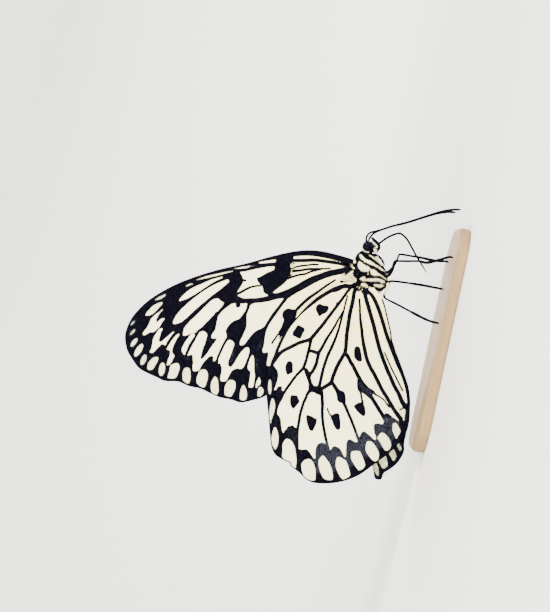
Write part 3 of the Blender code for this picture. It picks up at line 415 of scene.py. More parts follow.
# Hindwing: cream ground, black veins, spots and margin
HINDWING_VEINS = [
    ink_line((345, 285.5, 1.5), (335, 288.5, 1.5), (325, 294, 1.4), (315, 300.5, 1.4), (305, 308.5, 1.4),
        (300, 313, 1.3), (295, 318.5, 1.3), (290, 324.5, 1.2), (286, 331, 1.1), (282, 339, 1),
        (278, 348, 1), (275, 356, 1), (272, 363, 1.1)),
    ink_line((350, 288, 0.9), (347, 291.5, 0.9), (343, 297, 0.9), (338, 304, 1), (333, 310.5, 1),
        (328, 317, 1.1), (322, 325, 1.2), (317, 331, 1.3), (312, 337, 1.3), (309, 340, 1.3)),
    ink_line((311, 339, 1.3), (308, 339.7, 1.3), (304, 341, 1.3), (299, 342.5, 1.3), (294, 345, 1.3),
        (289, 347.5, 1.3), (284, 350, 1.3), (280, 353, 1.3), (277, 357, 1.3), (274, 361, 1.3),
        (271, 365, 1.3)),
    ink_line((310.5, 341, 1.1), (309.5, 346, 1), (308, 352, 1), (306.5, 358, 1), (305, 363, 1),
        (303, 368, 1), (299, 372, 0.9), (295, 376.5, 0.9), (291, 382, 0.9), (287, 387.5, 0.9),
        (283, 393.5, 1), (281, 398, 1), (278, 403, 1.1), (276, 409, 1.2)),
    ink_line((309, 350.5, 1.1), (313, 351, 1.2), (317, 352.5, 1.2), (319.5, 351, 1)),
    ink_line((344, 309, 0.3), (340, 316, 0.4), (337.5, 320, 0.5), (335, 325, 0.6), (332, 330, 0.7),
        (328, 336, 0.8), (325, 341, 0.9), (322, 347, 1), (319, 352, 1.1), (317.5, 357, 1.2),
        (316.5, 362, 1.2), (315, 366, 1.2), (313, 370, 1.2), (310.5, 373, 1.2)),
    ink_line((347, 296, 0.3), (345, 303, 0.3), (343, 312, 0.4), (341.5, 317, 0.5), (340, 323, 0.6),
        (338, 330, 0.7), (336, 336, 0.8), (333.5, 342, 0.9), (331, 348, 1), (328, 354, 1), (325.5, 361, 1),
        (323.5, 367, 1.1), (322, 373, 1.1), (320.5, 380, 1.1), (319, 387, 1.2)),
    ink_line((355.5, 288, 1.3), (353.5, 293, 1.4), (352.5, 300, 1.45), (351, 307, 1.45), (349.5, 313, 1.45),
        (348.5, 320, 1.45), (347.5, 327, 1.45), (346.5, 334, 1.45), (346, 341, 1.45), (345.5, 348, 1.45),
        (344.5, 353, 1.5)),
    ink_line((344.5, 353, 1.4), (342, 357, 1.4), (339, 362, 1.4), (336.5, 367, 1.4), (334.5, 372, 1.4),
        (332.5, 377, 1.4), (331, 382, 1.5), (327, 385, 1.4), (322, 388, 1.4), (318, 389, 1.5)),
    ink_line((332, 382.5, 1.3), (334, 385.5, 1.4), (336.5, 389, 1.5)),
    ink_line((343, 401, 1.2), (346.5, 409, 1), (349.5, 416, 1), (352, 422, 0.9), (355, 430, 0.8),
        (358, 438, 0.9), (360, 442, 1.1)),
    ink_line((345, 353, 1.4), (347.5, 356, 1.4), (350, 361, 1.4), (353, 366, 1.4), (355.5, 371, 1.4),
        (358, 376, 1.4), (361, 381, 1.4), (364, 386, 1.4), (368, 391, 1.5), (371, 396.5, 1.4),
        (375, 403, 1.4), (379, 409.5, 1.4), (383, 416, 1.4), (387, 424, 1.4), (391, 434, 1.4),
        (394, 441, 1.4)),
    ink_line((358.8, 299, 0.4), (359.3, 306, 0.5), (359.5, 313, 0.6), (360, 320, 0.9), (361, 327, 1),
        (361.7, 334, 1.1), (362.7, 341, 1.2), (364, 348, 1.4), (366, 357, 1.4), (369.5, 366, 1.4),
        (374, 374, 1.4), (378, 382, 1.4), (382, 390, 1.4), (386.5, 397, 1.4), (390, 403, 1.4),
        (393.5, 409, 1.5), (397, 414, 1.6), (400.5, 419, 1.8)),
    ink_line((363, 289, 1.4), (365, 297, 1.5), (367, 304, 1.5), (369, 311, 1.5), (371, 318, 1.5),
        (373, 325, 1.5), (375, 333, 1.5), (377, 341, 1.5), (379.5, 350, 1.5), (383, 360, 1.5),
        (387, 370, 1.5), (390.5, 378, 1.5), (394, 386, 1.5), (398, 393, 1.5), (401, 400, 1.7),
        (404, 405, 2), (407, 408, 2)),
    ink_line((366, 290, 1.2), (371, 295, 1.3), (374.5, 301, 1.4), (377.5, 308, 1.4), (380, 315, 1.4),
        (382.5, 323, 1.4), (385.5, 333, 1.4), (389, 343, 1.4), (393, 353, 1.4), (397, 363, 1.4),
        (401.5, 373, 1.4), (405.5, 384, 1.4), (407.8, 394, 1.4), (408.8, 404, 1.4)),
    ink_line((309, 391, 1.2), (307, 394, 0.9), (305.5, 398, 0.9), (303.5, 402, 0.9), (302, 407, 0.9),
        (300.5, 412, 0.9), (299.5, 417, 0.9), (298.5, 423, 0.9), (297.5, 430, 0.9), (297, 437, 1),
        (297, 448, 1.2)),
    ink_line((321.5, 392, 1.2), (322, 398, 1.1), (322.3, 405, 1.1), (322, 412, 1), (322.5, 420, 1),
        (323.5, 427, 0.9), (325, 435, 0.9), (326.5, 442, 0.9), (328.5, 451, 1.2)),
]
HINDWING_BAND = ink((272, 363.5), (275.5, 368), (277.5, 371), (278, 376), (277, 380), (276, 384),
    (274.5, 387.5), (274.3, 390.5), (276.5, 389), (278, 386.5), (280, 386), (281.5, 386.2), (281.7, 389),
    (282.5, 392), (282.5, 396), (280, 401), (277.5, 407), (277, 413.5), (279, 416), (280.5, 420),
    (281, 426), (282, 431), (283.5, 433), (285, 430), (286.5, 429), (288, 426), (290, 426), (292.5, 425),
    (295, 427.5), (297, 428.5), (297.5, 438), (297.3, 447), (302, 449.5), (305.5, 449), (308, 450.5),
    (310.5, 453.5), (312.5, 457), (314.5, 458.5), (315.8, 457), (315.5, 453), (316, 448), (318, 444),
    (321, 442.5), (324, 443), (327, 446.5), (330, 450.5), (332, 447.5), (334, 446), (337.5, 447),
    (340, 449), (342, 453), (344.5, 457), (346, 456), (346.3, 449), (346.5, 443), (348, 439.7),
    (350.5, 439.5), (353, 441), (356, 442), (358.5, 440), (361, 433), (364, 431.5), (367, 433.5),
    (370, 436), (373, 439), (375.8, 439.5), (376, 436), (374.3, 432), (374, 425), (375.5, 423.5),
    (379, 423.5), (382, 424.2), (383.7, 421), (384, 416), (385, 413.2), (387, 413), (390, 415),
    (393, 417.5), (396.5, 420), (400, 421.5), (404, 420.5), (413, 418), (416, 440), (400, 456), (380, 472),
    (350, 490), (310, 492), (270, 470), (258, 430), (258, 380), (262, 365), (268, 362))
HINDWING_MARKS = HINDWING_VEINS + [
    edge_line(1.0, OUTER_MARGIN),
    edge_line(0.9, INNER_MARGIN),
    HINDWING_BAND,
    cream_oval(269.8, 386.5, 7.8, 2.0, 90, tone=0.5),
    cream((272.5, 397.5), (274.5, 400), (275.3, 406), (274, 413), (271.5, 420), (270.3, 426.5),
        (269.2, 425), (269.2, 412), (270, 404), (271, 399.5), tone=0.4),
    cream((275.5, 426.5), (277.5, 430), (278.8, 436), (278.5, 442), (277, 447), (275.3, 449.5), (274, 448),
        (271.5, 443), (271.3, 437), (272.3, 431), (274, 427), tone=0.3),
    cream((287, 438), (290, 439), (293, 442), (295, 447), (296, 453), (296.8, 460), (296, 466),
        (295.3, 468.5), (292, 466.5), (290, 464.5), (289, 461.5), (285, 459.5), (281.7, 456), (282.2, 450),
        (282.2, 444), (284.5, 439.5), tone=0.2),
    cream((304, 459.5), (308.5, 458), (311.5, 459.5), (314, 463), (315.5, 469), (315.8, 475), (314.8, 480),
        (311, 480), (306, 478), (303, 474.5), (301.3, 469), (301, 463.5), tone=0.2),
    cream((322.5, 454.5), (325.5, 457), (329, 461.5), (331, 466), (332.5, 471), (333, 476), (332, 479.5),
        (327, 479.5), (323.5, 478), (321, 474), (319, 469), (318, 463), (318.5, 459), tone=0.2),
    cream((337, 456.5), (340, 456.3), (343, 458), (346, 460), (348, 465), (349.7, 471), (350, 475),
        (347, 477.5), (343, 479), (340, 476.5), (337, 471), (335.2, 465), (335.5, 460), tone=0.2),
    cream((352, 450.5), (356, 450), (360, 451), (362, 455), (364, 460), (365, 465), (362.5, 468.5),
        (359, 470), (356.5, 468), (353, 463), (350.5, 458), (350.5, 453), tone=0.2),
    cream((367, 440.5), (370.5, 440.5), (374, 443.5), (377.5, 449), (379, 454), (378, 459), (375, 461),
        (371.5, 459.5), (368, 455), (365.5, 451), (365, 446), (366, 442), tone=0.25),
    cream((381, 432), (384, 432.5), (387, 435.5), (389.5, 439), (391, 444), (390, 448), (388, 450),
        (385.5, 450.5), (383, 448), (379.5, 442), (377, 438), (378.5, 434), tone=0.3),
    cream((394, 422), (396.5, 423), (399, 427), (400.5, 431), (398, 435.5), (396.5, 438.5), (395.5, 438),
        (393.5, 434), (391.7, 429), (392.3, 423.5), tone=0.4),
    cream((401, 409), (404, 409.5), (406, 412), (406.5, 415), (405, 419), (402.5, 417), (400.5, 415),
        (398.5, 411), (397, 406), (399, 407), tone=0.4),
    ink((304, 369), (306, 376), (308.5, 383), (308.5, 389), (310, 391.5), (313, 391.5), (316, 393),
        (319.5, 394.5), (322, 393), (322.5, 390), (325, 388), (323, 386.5), (320, 387), (317.5, 386),
        (314, 385.5), (312, 383), (310.5, 378), (311, 374), (309, 371.5), (306.5, 368)),
    ink((334.5, 385.5), (336, 387), (340, 390), (343.5, 391.5), (345, 395), (345, 402), (341, 402.5),
        (337.5, 400), (336.8, 395), (335, 390)),
    ink((357.5, 378), (357.3, 388), (359.5, 391.5), (362, 392), (366, 395), (370, 398), (372, 394),
        (375, 393), (373, 390), (368, 387), (363.5, 382)),
    # A thin dark line of painted shade along a fold in the wing
    ink_line((375, 394, 0.5), (378, 395.5, 0.3), (383, 399, 0.25), (386, 403, 0.2), (389, 407, 0.2)),
    ink((316, 307), (318, 304.5), (320, 304), (323, 305.5), (327.5, 306), (328, 309), (326, 312),
        (322, 314), (319, 316), (317.5, 313), (316, 310)),
    ink((298, 325), (301, 326.5), (303.5, 327.5), (304.3, 330), (302.5, 333), (300.5, 337.5), (299, 338),
        (296, 336.5), (293, 335), (293, 332), (295, 329)),
    ink((288.5, 361), (291, 361.5), (292.5, 364), (292.3, 367.5), (292.5, 371.5), (290, 373), (287.5, 374),
        (286, 371), (285.5, 367), (286.5, 363.5)),
    ink((291.5, 395), (294, 395.3), (296.5, 395.3), (298, 398), (299, 401.5), (296, 405), (293.5, 408),
        (291.5, 406), (290.3, 402), (290.3, 398)),
    ink((357, 346), (359.5, 348), (360.5, 352), (361.3, 357), (361.3, 360.5), (358.5, 361), (356, 359),
        (354.2, 356), (354, 350), (355, 347)),
    ink((306.5, 415), (309, 415.3), (312, 416.5), (314.5, 418), (316.5, 419), (316, 422), (314.5, 426),
        (312.5, 430), (310, 429.5), (308, 425.5), (306.7, 420)),
    ink((334.5, 413.3), (338.5, 413.5), (339.5, 418), (340, 424), (339.5, 428.5), (337, 429), (334.5, 426),
        (332, 420), (331, 416.5)),
    ink_line((327, 408, 0.2), (329, 413, 0.25), (331.5, 416, 0.5)),
    ink((354, 406.5), (355, 404.5), (358.5, 402.5), (361, 402.5), (363.5, 404), (365, 411), (364, 415.5),
        (361.5, 414.5), (358, 411.5)),
    ink_line((360.5, 393, 0.5), (361.5, 398, 0.4), (362.3, 402.5, 0.8)),
    ink_line((337, 303.6, 1.2), (337.6, 304.4, 1)),
    ink_line((306, 307, 0.25), (302.5, 310.5, 0.35), (296, 317, 0.25)),
    ink_line((384, 352, 0.1), (390, 366, 0.3), (397, 380, 0.35), (402, 390, 0.3)),
    ink_line((353.4, 446, 0.3), (354.4, 445.7, 0.5), (355.6, 445.5, 0.3)),
    ink_line((313.6, 320.4, -0.55), (308, 328, -0.5), (302.4, 335.6, -0.55)),
    # The root of the wing
    ink((333, 292), (337, 288.6), (341, 285.4), (345, 284), (350, 284.4), (353.5, 282.8), (357, 281.5),
        (361, 280.4), (366, 280.4), (370, 282.6), (373.6, 286.2), (371, 287.4), (368.6, 286.2),
        (367.8, 288.5), (366.4, 290.5), (367.6, 293.4), (366, 295), (363.6, 294), (361.4, 292),
        (360.5, 290), (358.4, 290.8), (356, 290), (352.5, 288.2), (348, 288), (343, 288.2), (338, 290.8)),
    cream((360.6, 283.2), (364, 282.8), (366.7, 284.3), (368.1, 286.9), (366.2, 288), (364, 286.4),
        (361.3, 286.4), tone=0.05),
    cream_oval(359.2, 287.5, 1.3, 1.0, 70, tone=0.1),
    cream_oval(361.7, 289.4, 1.0, 0.8, 0, tone=0.2),
    cream_oval(356.9, 286.4, 1.2, 0.8, 20, tone=0.2),
    tint((343.6, 287.4), (349.4, 287), (349, 290.6), (344, 291), tone=0.55),
    edge_line(0.6, OUTER_MARGIN),
    ink_line((408.6, 396, 0.8), (408.4, 404, 1.4), (407.4, 412, 1.9), (405.6, 421, 1.6)),
    ink_line((399.4, 409.6, 0.2), (403, 407.4, 0.4), (406.4, 407.6, 0.6)),
    # Dusty black and grey-green scales, and a grey-green strip of painted shade along the inner margin
    dust((313, 440), (330, 442), (346, 436), (360, 428), (374, 420), (392, 416), (400, 426), (392, 440),
        (372, 452), (352, 466), (332, 472), (314, 470), tone=0.85),
    dust((284, 428), (296, 430), (298, 447), (290, 440), tone=0.4),
    dust((358, 382), (372, 390), (376, 396), (366, 396), tone=0.6),
    # Painted shade: a grey-green strip along the inner margin
    tint_line((394.6, 353, 1), (398, 360, 1.4), (400.6, 368, 1), tone=0.6),
    tint_line((399, 392, 1), (403, 400, 1.6), (404.5, 407, 1.4), tone=0.5),
    tint_line((370.6, 350.6, 0.5), (371.4, 355, 0.9), tone=0.35),
]
# The far hindwing's inner corner: its own black, and its cream spots toned grey-green as painted shade
FAR_MARKS = [
    ink((371, 463), (375, 456), (383, 450), (391, 443), (400, 434), (410, 436), (410, 455), (396, 472),
        (386, 486), (370, 486)),
    cream((372.6, 466.2), (375.3, 463), (377.2, 463.6), (379, 469), (379.3, 474), (378.3, 476.8),
        (374.6, 472), tone=0.85),
    cream((378.6, 461), (382, 457.6), (385.5, 454.6), (387.2, 460), (388, 466), (383.4, 469),
        (380.6, 465.5), tone=0.7),
    cream((388.6, 453.2), (393, 448), (396.2, 453), (396.7, 457.6), (393.6, 461.3), (391.2, 458), tone=0.75),
    cream((396.3, 444), (398.5, 441.2), (402, 448.6), (400.2, 451.2), (398, 448.6), tone=1.0),
]

# Where the wings lie, matching the frame's wings, with each rise's or dip's height and reach
FOREWING_HINGE = (356.0, 271.0)
HINDWING_HINGE = (363.5, 285.5)
OVERLAP_LINE = [(352.0, 286.0), (311.0, 338.0), (275.0, 387.0)]
FOREWING_OFF, HINDWING_OFF = 0.72 * MM, 1.40 * MM
FOREWING_ROOT_RISE = (1.15 * MM, 7.0 * MM)
HINDWING_ROOT_RISE = (1.45 * MM, 15.0 * MM)
HINDWING_HINGE_DIP = (-1.35 * MM, 2.6 * MM)
OVERLAP_RISE = (0.62 * MM, 7.0 * MM)
ABDOMEN_RISE = (1.10 * MM, 6.0 * MM)

# Where and how far the far hindwing's inner corner is shifted in the picture
FAR_START, FAR_FADE = (335.0, 340.0), (40.0, 90.0)
FAR_TURN = (372.0, 27.0)
FAR_MOVE, FAR_MOVE_CHANGE = (12.0, 9.0), (-9.0, 6.0)

# Body and limbs: across, down, millimetres off the middle plane, half height and half width, or one radius
ABDOMEN = [
    (373.6, 286, 0, 1.2, 1.1), (374.2, 291, 0, 1.45, 1.35), (375.6, 300, 0, 1.72, 1.62),
    (377.4, 315, 0, 2.02, 1.88), (380, 331, 0, 2.1, 1.95), (383.4, 347, 0, 1.9, 1.78),
    (387.2, 361, 0, 1.55, 1.45), (390.4, 372, 0, 1.1, 1.02), (392.4, 378.5, 0, 0.62, 0.55),
    (393.2, 381, 0, 0.28, 0.26),
]
THORAX = [
    (366.2, 250, 0, 0.8, 0.7), (366.1, 251.4, 0, 1.55, 1.3), (365.8, 254, 0, 2.25, 1.85),
    (365.6, 257.4, 0, 2.85, 2.3), (365.8, 261.7, 0, 3.4, 2.8), (366.8, 266.5, 0, 3.86, 3.1),
    (368.4, 271.2, 0, 4.25, 3.25), (370.7, 275.7, 0, 4.44, 3.25), (373, 280.3, 0, 4.36, 3.1),
    (374.9, 284.9, 0, 3.72, 2.7), (375.8, 289.9, 0, 2.67, 2), (376.8, 293.2, 0, 1.3, 1),
]
HEAD = [
    (368.6, 240.6, 0, 0.4, 0.4), (368.4, 241.8, 0, 1.15, 1), (368.3, 244.2, 0, 1.62, 1.4),
    (368.4, 247.2, 0, 1.8, 1.55), (368.8, 250.4, 0, 1.62, 1.4), (369.1, 252.8, 0, 1.05, 0.95),
    (369.2, 254, 0, 0.4, 0.4),
]
EYE_CENTRE = (367.1, 246.5)
EYE_DEPTH = 1.30 * MM
EYE_RADIUS = 1.36 * MM
EYE_HALF_WIDTH = 1.05 * MM
EYE_CLEAR = 1.14
PALP = [
    (372, 250.2, 1, 0.4, 0.38), (375.4, 250.8, 1.15, 0.55, 0.45), (378, 247.6, 1.25, 0.62, 0.46),
    (376.9, 243.8, 1.35, 0.58, 0.43), (374.3, 240.4, 1.5, 0.42, 0.36), (371.8, 237.4, 1.6, 0.2, 0.2),
]
PROBOSCIS = [
    (372.5, 247.3, 0, 0.33), (379, 243.3, 0, 0.32), (386, 238.3, 0, 0.31), (393.5, 234.6, 0, 0.31),
    (399.3, 233.2, 0, 0.31), (403.2, 235.2, 0, 0.31), (407.5, 239.8, 0, 0.3), (411.8, 247.4, 0, 0.29),
    (416.5, 256, 0, 0.27), (421.3, 263.7, 0, 0.24), (426.5, 272.5, 0, 0.14),
]
ANTENNA_SHAFT = [
    (382, 229.4, 2.1, 0.26), (390, 226.7, 2.8, 0.26), (398, 224.6, 3.5, 0.26), (407, 222.4, 4.3, 0.26),
    (421.5, 217.8, 5.5, 0.26), (438.5, 212.6, 6.9, 0.27), (450, 210.8, 7.6, 0.3), (456, 210.8, 8, 0.28),
    (458.3, 210.9, 8.12, 0.13),
]
ANTENNAE = {
    RIGHT: [
        (366.6, 243.5, 0.6, 0.3), (366.3, 240.6, 0.7, 0.28), (366.2, 238.6, 0.8, 0.27),
        (367, 235.6, 0.95, 0.27), (370, 232.6, 1.2, 0.27), (375.5, 231.2, 1.6, 0.27),
    ] + ANTENNA_SHAFT,
    LEFT: [
        (368.6, 243.5, 0.6, 0.3), (368.9, 240.6, 0.7, 0.26), (369.4, 238.6, 0.82, 0.27),
        (370.6, 236.4, 0.95, 0.27), (373.4, 233.5, 1.2, 0.27), (377, 231.4, 1.6, 0.27),
    ] + ANTENNA_SHAFT,
}
FORELEG = [
    (371.5, 255.2, 0.9, 0.42, 0.4), (376, 255, 1.2, 0.36, 0.34), (379.8, 257.4, 1.3, 0.3, 0.3),
    (382.6, 261.2, 1.25, 0.26, 0.26), (384.4, 265.6, 1.15, 0.12, 0.12),
]
LEGS = {
    "midleg_right": [
        (380.5, 271.5, 1.3, 0.62, 0.6), (386.4, 275.6, 1.75, 0.52, 0.5), (390, 272.8, 2.4, 0.47, 0.45),
        (392.2, 268, 3.1, 0.44, 0.42), (393.9, 262, 3.75, 0.36, 0.35), (396.4, 261.2, 3.95, 0.31, 0.31),
        (406, 261.3, 4.4, 0.31, 0.31), (418.5, 261.4, 5, 0.31, 0.31), (424.5, 262.9, 5.25, 0.43, 0.4),
        (432, 261.7, 5.55, 0.41, 0.38), (440, 259.4, 5.8, 0.38, 0.36), (447.4, 257.3, 6, 0.34, 0.34),
        (451.1, 258.1, 6, 0.24, 0.24),
    ],
    "midleg_left": [
        (380.5, 270.5, 1.3, 0.62, 0.6), (386.5, 272.6, 1.9, 0.5, 0.48), (391.9, 268.6, 2.8, 0.38, 0.37),
        (396.8, 261.6, 3.7, 0.3, 0.3), (399.7, 254.8, 4.45, 0.27, 0.27), (402.2, 253.8, 4.65, 0.3, 0.3),
        (409, 254.9, 4.95, 0.31, 0.31), (416.5, 256, 5.25, 0.31, 0.31), (424.5, 257.5, 5.55, 0.4, 0.38),
        (432, 259.1, 5.8, 0.38, 0.36), (440, 260.4, 6.1, 0.37, 0.36), (446.6, 260.6, 6.3, 0.33, 0.33),
        (450.3, 261.4, 6.3, 0.24, 0.24),
    ],
    "hindleg_right": [
        (381.5, 280.5, 1.1, 0.6, 0.58), (387.2, 283, 1.35, 0.5, 0.48), (386.9, 287.6, 1.5, 0.43, 0.42),
        (385.3, 292, 1.65, 0.39, 0.38), (383.7, 296, 1.85, 0.34, 0.34), (386.1, 298.9, 2.25, 0.28, 0.28),
        (393.5, 302.7, 2.9, 0.31, 0.31), (401.2, 306.8, 3.6, 0.31, 0.31), (408.5, 310.8, 4.2, 0.31, 0.31),
        (413.5, 313.5, 4.6, 0.42, 0.4), (420.5, 317.2, 5.1, 0.4, 0.38), (427.5, 320.4, 5.5, 0.37, 0.36),
        (433.6, 322.2, 5.8, 0.34, 0.34), (437.2, 323, 5.8, 0.24, 0.24),
    ],
    "hindleg_left": [
        (381.5, 280, 1.1, 0.6, 0.58), (386.6, 282.6, 1.7, 0.48, 0.46), (389.4, 281.8, 2.9, 0.44, 0.42),
        (391.9, 280.8, 3.9, 0.33, 0.33), (396, 281, 4.15, 0.31, 0.31), (403, 281.8, 4.45, 0.31, 0.31),
        (410, 282.8, 4.75, 0.31, 0.31), (418.5, 284, 5.1, 0.4, 0.38), (426, 285.2, 5.45, 0.38, 0.36),
        (434, 286.8, 5.8, 0.37, 0.36), (440.8, 288, 6.1, 0.33, 0.33), (444.5, 288.8, 6.1, 0.24, 0.24),
    ],
}
FOOT_ROWS, FOOT_JOINTS = 5, 5
ABDOMEN_RINGS, FEELER_RINGS = 8, 44

# Body markings on a black ground, and the abdomen's on a cream one
BODY_MARKS = [
    # The head: pale spots behind the eye and between the feelers, a pale rim under the eye, a pale face
    cream_oval(361.9, 246.3, 1.5, 1.3, 90, tone=0.35),
    cream_line((362.3, 248.2, 0.6), (363.4, 250, 0.8), (365.4, 251.4, 0.8), (368.4, 251.9, 0.6), tone=0.15),
    cream_oval(364.6, 241.6, 0.7, 0.5, 40, tone=0.3),
    cream_oval(369.4, 240.6, 1.2, 0.8, -20, tone=0.1),
    cream((373.9, 241.6), (374.9, 243), (376, 246), (378.2, 250.2), (378.6, 252.2), (376, 253.4),
        (374, 252.2), (373.2, 250.4), (374, 247), tone=0.1),
    ink_line((374.8, 244.6, 0.35), (374.6, 247.4, 0.45)),
    tint((373, 249.4), (375.4, 250.4), (376, 252.4), (373.6, 251.6), tone=0.5),
    # Thorax bands from front to rear
    cream_line((369.3, 255.2, 0.6), (372.6, 257.2, 0.8), (376.3, 259.9, 0.8), (381, 264.7, 0.6)),
    cream((359, 254.6), (361.2, 254.6), (363.2, 256.8), (365.6, 258.9), (368.6, 260), (372, 261.8),
        (375, 264.2), (378.6, 266.2), (381.6, 268.4), (385, 271.6), (381, 270), (377.4, 267.6),
        (373.6, 265.8), (370, 264.2), (366, 262.6), (362.4, 260), (360.2, 258)),
    cream((357.6, 263.3), (357.6, 266), (358.8, 268.7), (361, 270.4), (364.5, 271.5), (367.5, 271.3),
        (369.4, 268.9), (368.9, 267.2), (366, 265.6), (363, 264), (361, 262), (359.2, 261)),
    ink_line((357.4, 258, 0.8), (361.6, 261, 0.7)),
    ink_line((355.4, 256, 1.2), (355.2, 262, 1.3), (355.4, 268, 1.4), (356.6, 272.4, 1.2),
        (358.2, 276.4, 0.9)),
    cream((369.9, 269.4), (369.7, 271.6), (371, 274.1), (374, 275.2), (377.5, 275.2), (381, 276.3),
        (384.5, 278.5), (387, 280), (384.6, 277.2), (382, 275.6), (378, 273), (375, 270.6), (372.5, 269.1)),
    cream_oval(367.4, 273.6, 1.0, 0.6, 60, tone=0.4),
    cream_oval(385, 274.5, 1.1, 0.9, 40, tone=0.6),
    cream((359.4, 278.7), (361, 277.3), (363.1, 276.1), (364.8, 277.4), (364.5, 279.6), (362.8, 281.1),
        (361.4, 280.2)),
    cream_line((365, 279.8, 0.9), (370, 279.6, 1.4), (377, 279.5, 1.3), (382, 281, 1.2),
        (387.6, 283.2, 0.5)),
    cream((372.8, 284), (378, 284.1), (383.4, 284.5), (382.6, 286.3), (379, 287.1), (375, 286.3), tone=0.1),
    cream_oval(364.8, 285, 3.4, 1.8, 0, tone=0.2),
    cream_line((369.6, 286.2, 0.7), (372, 287.8, 1), (375.4, 289.6, 0.6), tone=0.95),
    cream_line((376, 290.8, 0.8), (379, 291.4, 1.1), (381.4, 292.6, 0.6), tone=0.95),
]
ABDOMEN_SEAMS = [
    (368.6, 303), (370, 313.5), (371.6, 324), (374, 334.5), (377, 345), (380.6, 355), (385, 365),
]
ABDOMEN_MARKS = [
    ink_line((366, 292, 1.5), (368.6, 300, 1.7), (370.4, 315, 1.8), (372.8, 331, 1.9), (377, 347, 1.8),
        (382, 361, 1.6), (387, 372, 1.2), (391, 379, 0.9)),
] + [
    ink_line((across, down, 0.6), (across + 3.2, down + 0.6, 0.8), (across + 6.2, down - 0.4, 0.2))
    for across, down in ABDOMEN_SEAMS
]
PALP_MARKS = [
    ink_line((371.2, 237.2, 1.1), (374.9, 240.6, 1.5), (378.1, 243.9, 1.7), (379.4, 246.5, 1.7),
        (378.2, 248.5, 1.1), (375.8, 248.9, 0.5)),
    ink_line((377.4, 250.4, 0.5), (379.6, 249.8, 0.8)),
    ink_line((376, 252.6, 0.4), (377.6, 252.2, 0.7)),
    ink_line((371.4, 248.4, 0.9), (372.2, 250.4, 1.1), (372.6, 252.6, 0.9)),
    tint_line((374.2, 245.2, 0.7), (374.8, 248.6, 0.8), tone=0.9),
    tint_line((374, 251, 0.5), (376.6, 251.2, 0.6), tone=0.9),
]
LEG_MARKS = [
    cream_line((387.6, 283.6, 1.2), (386.9, 288, 1.6), (385.3, 292.4, 1.4), (384.4, 294.4, 0.6), tone=0.3),
    ink_line((385.6, 285.8, 0.2), (384.8, 289, 0.2), (383.6, 292.6, 0.2)),
    cream_line((385.6, 274.2, 0.4), (387.6, 273.6, 0.2), tone=0.5),
    cream_oval(379.5, 249.5, 0.5, 0.5, 0),
    cream_oval(377.2, 256.2, 0.7, 0.5, 30),
    cream_oval(380.6, 259.6, 0.6, 0.4, 50),
    cream_oval(382.9, 263.8, 0.5, 0.4, 60),
]

# Marks on a black ground above zero or a cream one below it, and how far black spreads
FOREWING_PATTERN = (FOREWING_MARKS + FOREWING_VEINS, DEEP)
HINDWING_PATTERN = (HINDWING_MARKS, -DEEP)
FAR_PATTERN = (FAR_MARKS, 0.0)
BODY_PATTERN = (BODY_MARKS, DEEP, BODY_BLEED)
ABDOMEN_PATTERN = (ABDOMEN_MARKS, -DEEP, BODY_BLEED)
PALP_PATTERN = (PALP_MARKS, -DEEP, BODY_BLEED)
LEG_PATTERN = (LEG_MARKS, DEEP, BODY_BLEED)


def places_of(across, down, depth):
    """The model's x, y and z for what the picture shows here, this many metres off the middle plane."""
    right, below = across - FLOOR_POINT[0], down - FLOOR_POINT[1]
    back = below * math.cos(FLOOR_LEAN) - right * math.sin(FLOOR_LEAN)
    up = -right * math.cos(FLOOR_LEAN) - below * math.sin(FLOOR_LEAN)
    return FLOOR_POINT_X - back * PIXEL, depth, BASE_TOP + up * PIXEL


def at(across, down, depth=0.0):
    return Vector(places_of(across, down, depth))


def all_at(pixels, depths):
    """at() for arrays of places."""
    return np.stack(places_of(pixels[:, 0], pixels[:, 1], depths), 1)


def station_point(row, side):
    """The middle of a station, whose third number is millimetres off the middle plane."""
    return at(row[0], row[1], side * row[2] * MM)


def pixels_of(points):
    """The places in the picture of an array of model points."""
    back = (FLOOR_POINT_X - points[:, 0]) / PIXEL
    up = (points[:, 2] - BASE_TOP) / PIXEL
    right = -(back * math.sin(FLOOR_LEAN) + up * math.cos(FLOOR_LEAN))
    below = back * math.cos(FLOOR_LEAN) - up * math.sin(FLOOR_LEAN)
    return np.stack([FLOOR_POINT[0] + right, FLOOR_POINT[1] + below], 1)


def line_spans(points, line):
    """For each span of a line: its ends, each point's share of the way along it, nearest spot and gap."""
    for a, b in zip(line, line[1:]):
        run = b[:2] - a[:2]
        share = np.clip((points - a[:2]) @ run / max(run @ run, 1e-9), 0.0, 1.0)
        spot = a[:2] + share[:, None] * run
        yield a, b, share, spot, np.linalg.norm(points - spot, axis=1)


def looped(ring):
    return np.vstack([ring, ring[:1]])


def line_distance(points, line):
    """Distance from each point to a line, less the line's half width where it has one."""
    best = np.full(len(points), np.inf)
    for a, b, share, _, gap in line_spans(points, line):
        if len(a) > 2:
            gap = gap - (a[2] + share * (b[2] - a[2]))
        best = np.minimum(best, gap)
    return best


def nearest_on(points, ring):
    """The spot on a closed outline that is nearest to each point."""
    best = np.full(len(points), np.inf)
    found = points.copy()
    for _, _, _, spot, gap in line_spans(points, looped(ring)):
        closer = gap < best
        best = np.where(closer, gap, best)
        found[closer] = spot[closer]
    return found


def inside(points, ring):
    """True for the points inside a closed outline."""
    odd = np.zeros(len(points), bool)
    for a, b in zip(ring, np.roll(ring, -1, 0)):
        if a[1] == b[1]:
            continue
        crosses = (a[1] > points[:, 1]) != (b[1] > points[:, 1])
        odd ^= crosses & (points[:, 0] < a[0] + (points[:, 1] - a[1]) * (b[0] - a[0]) / (b[1] - a[1]))
    return odd


def shape_distance(points, ring):
    """Distance to a closed outline, negative inside it."""
    gap = line_distance(points, looped(ring)[:, :2])
    return np.where(inside(points, ring), -gap, gap)


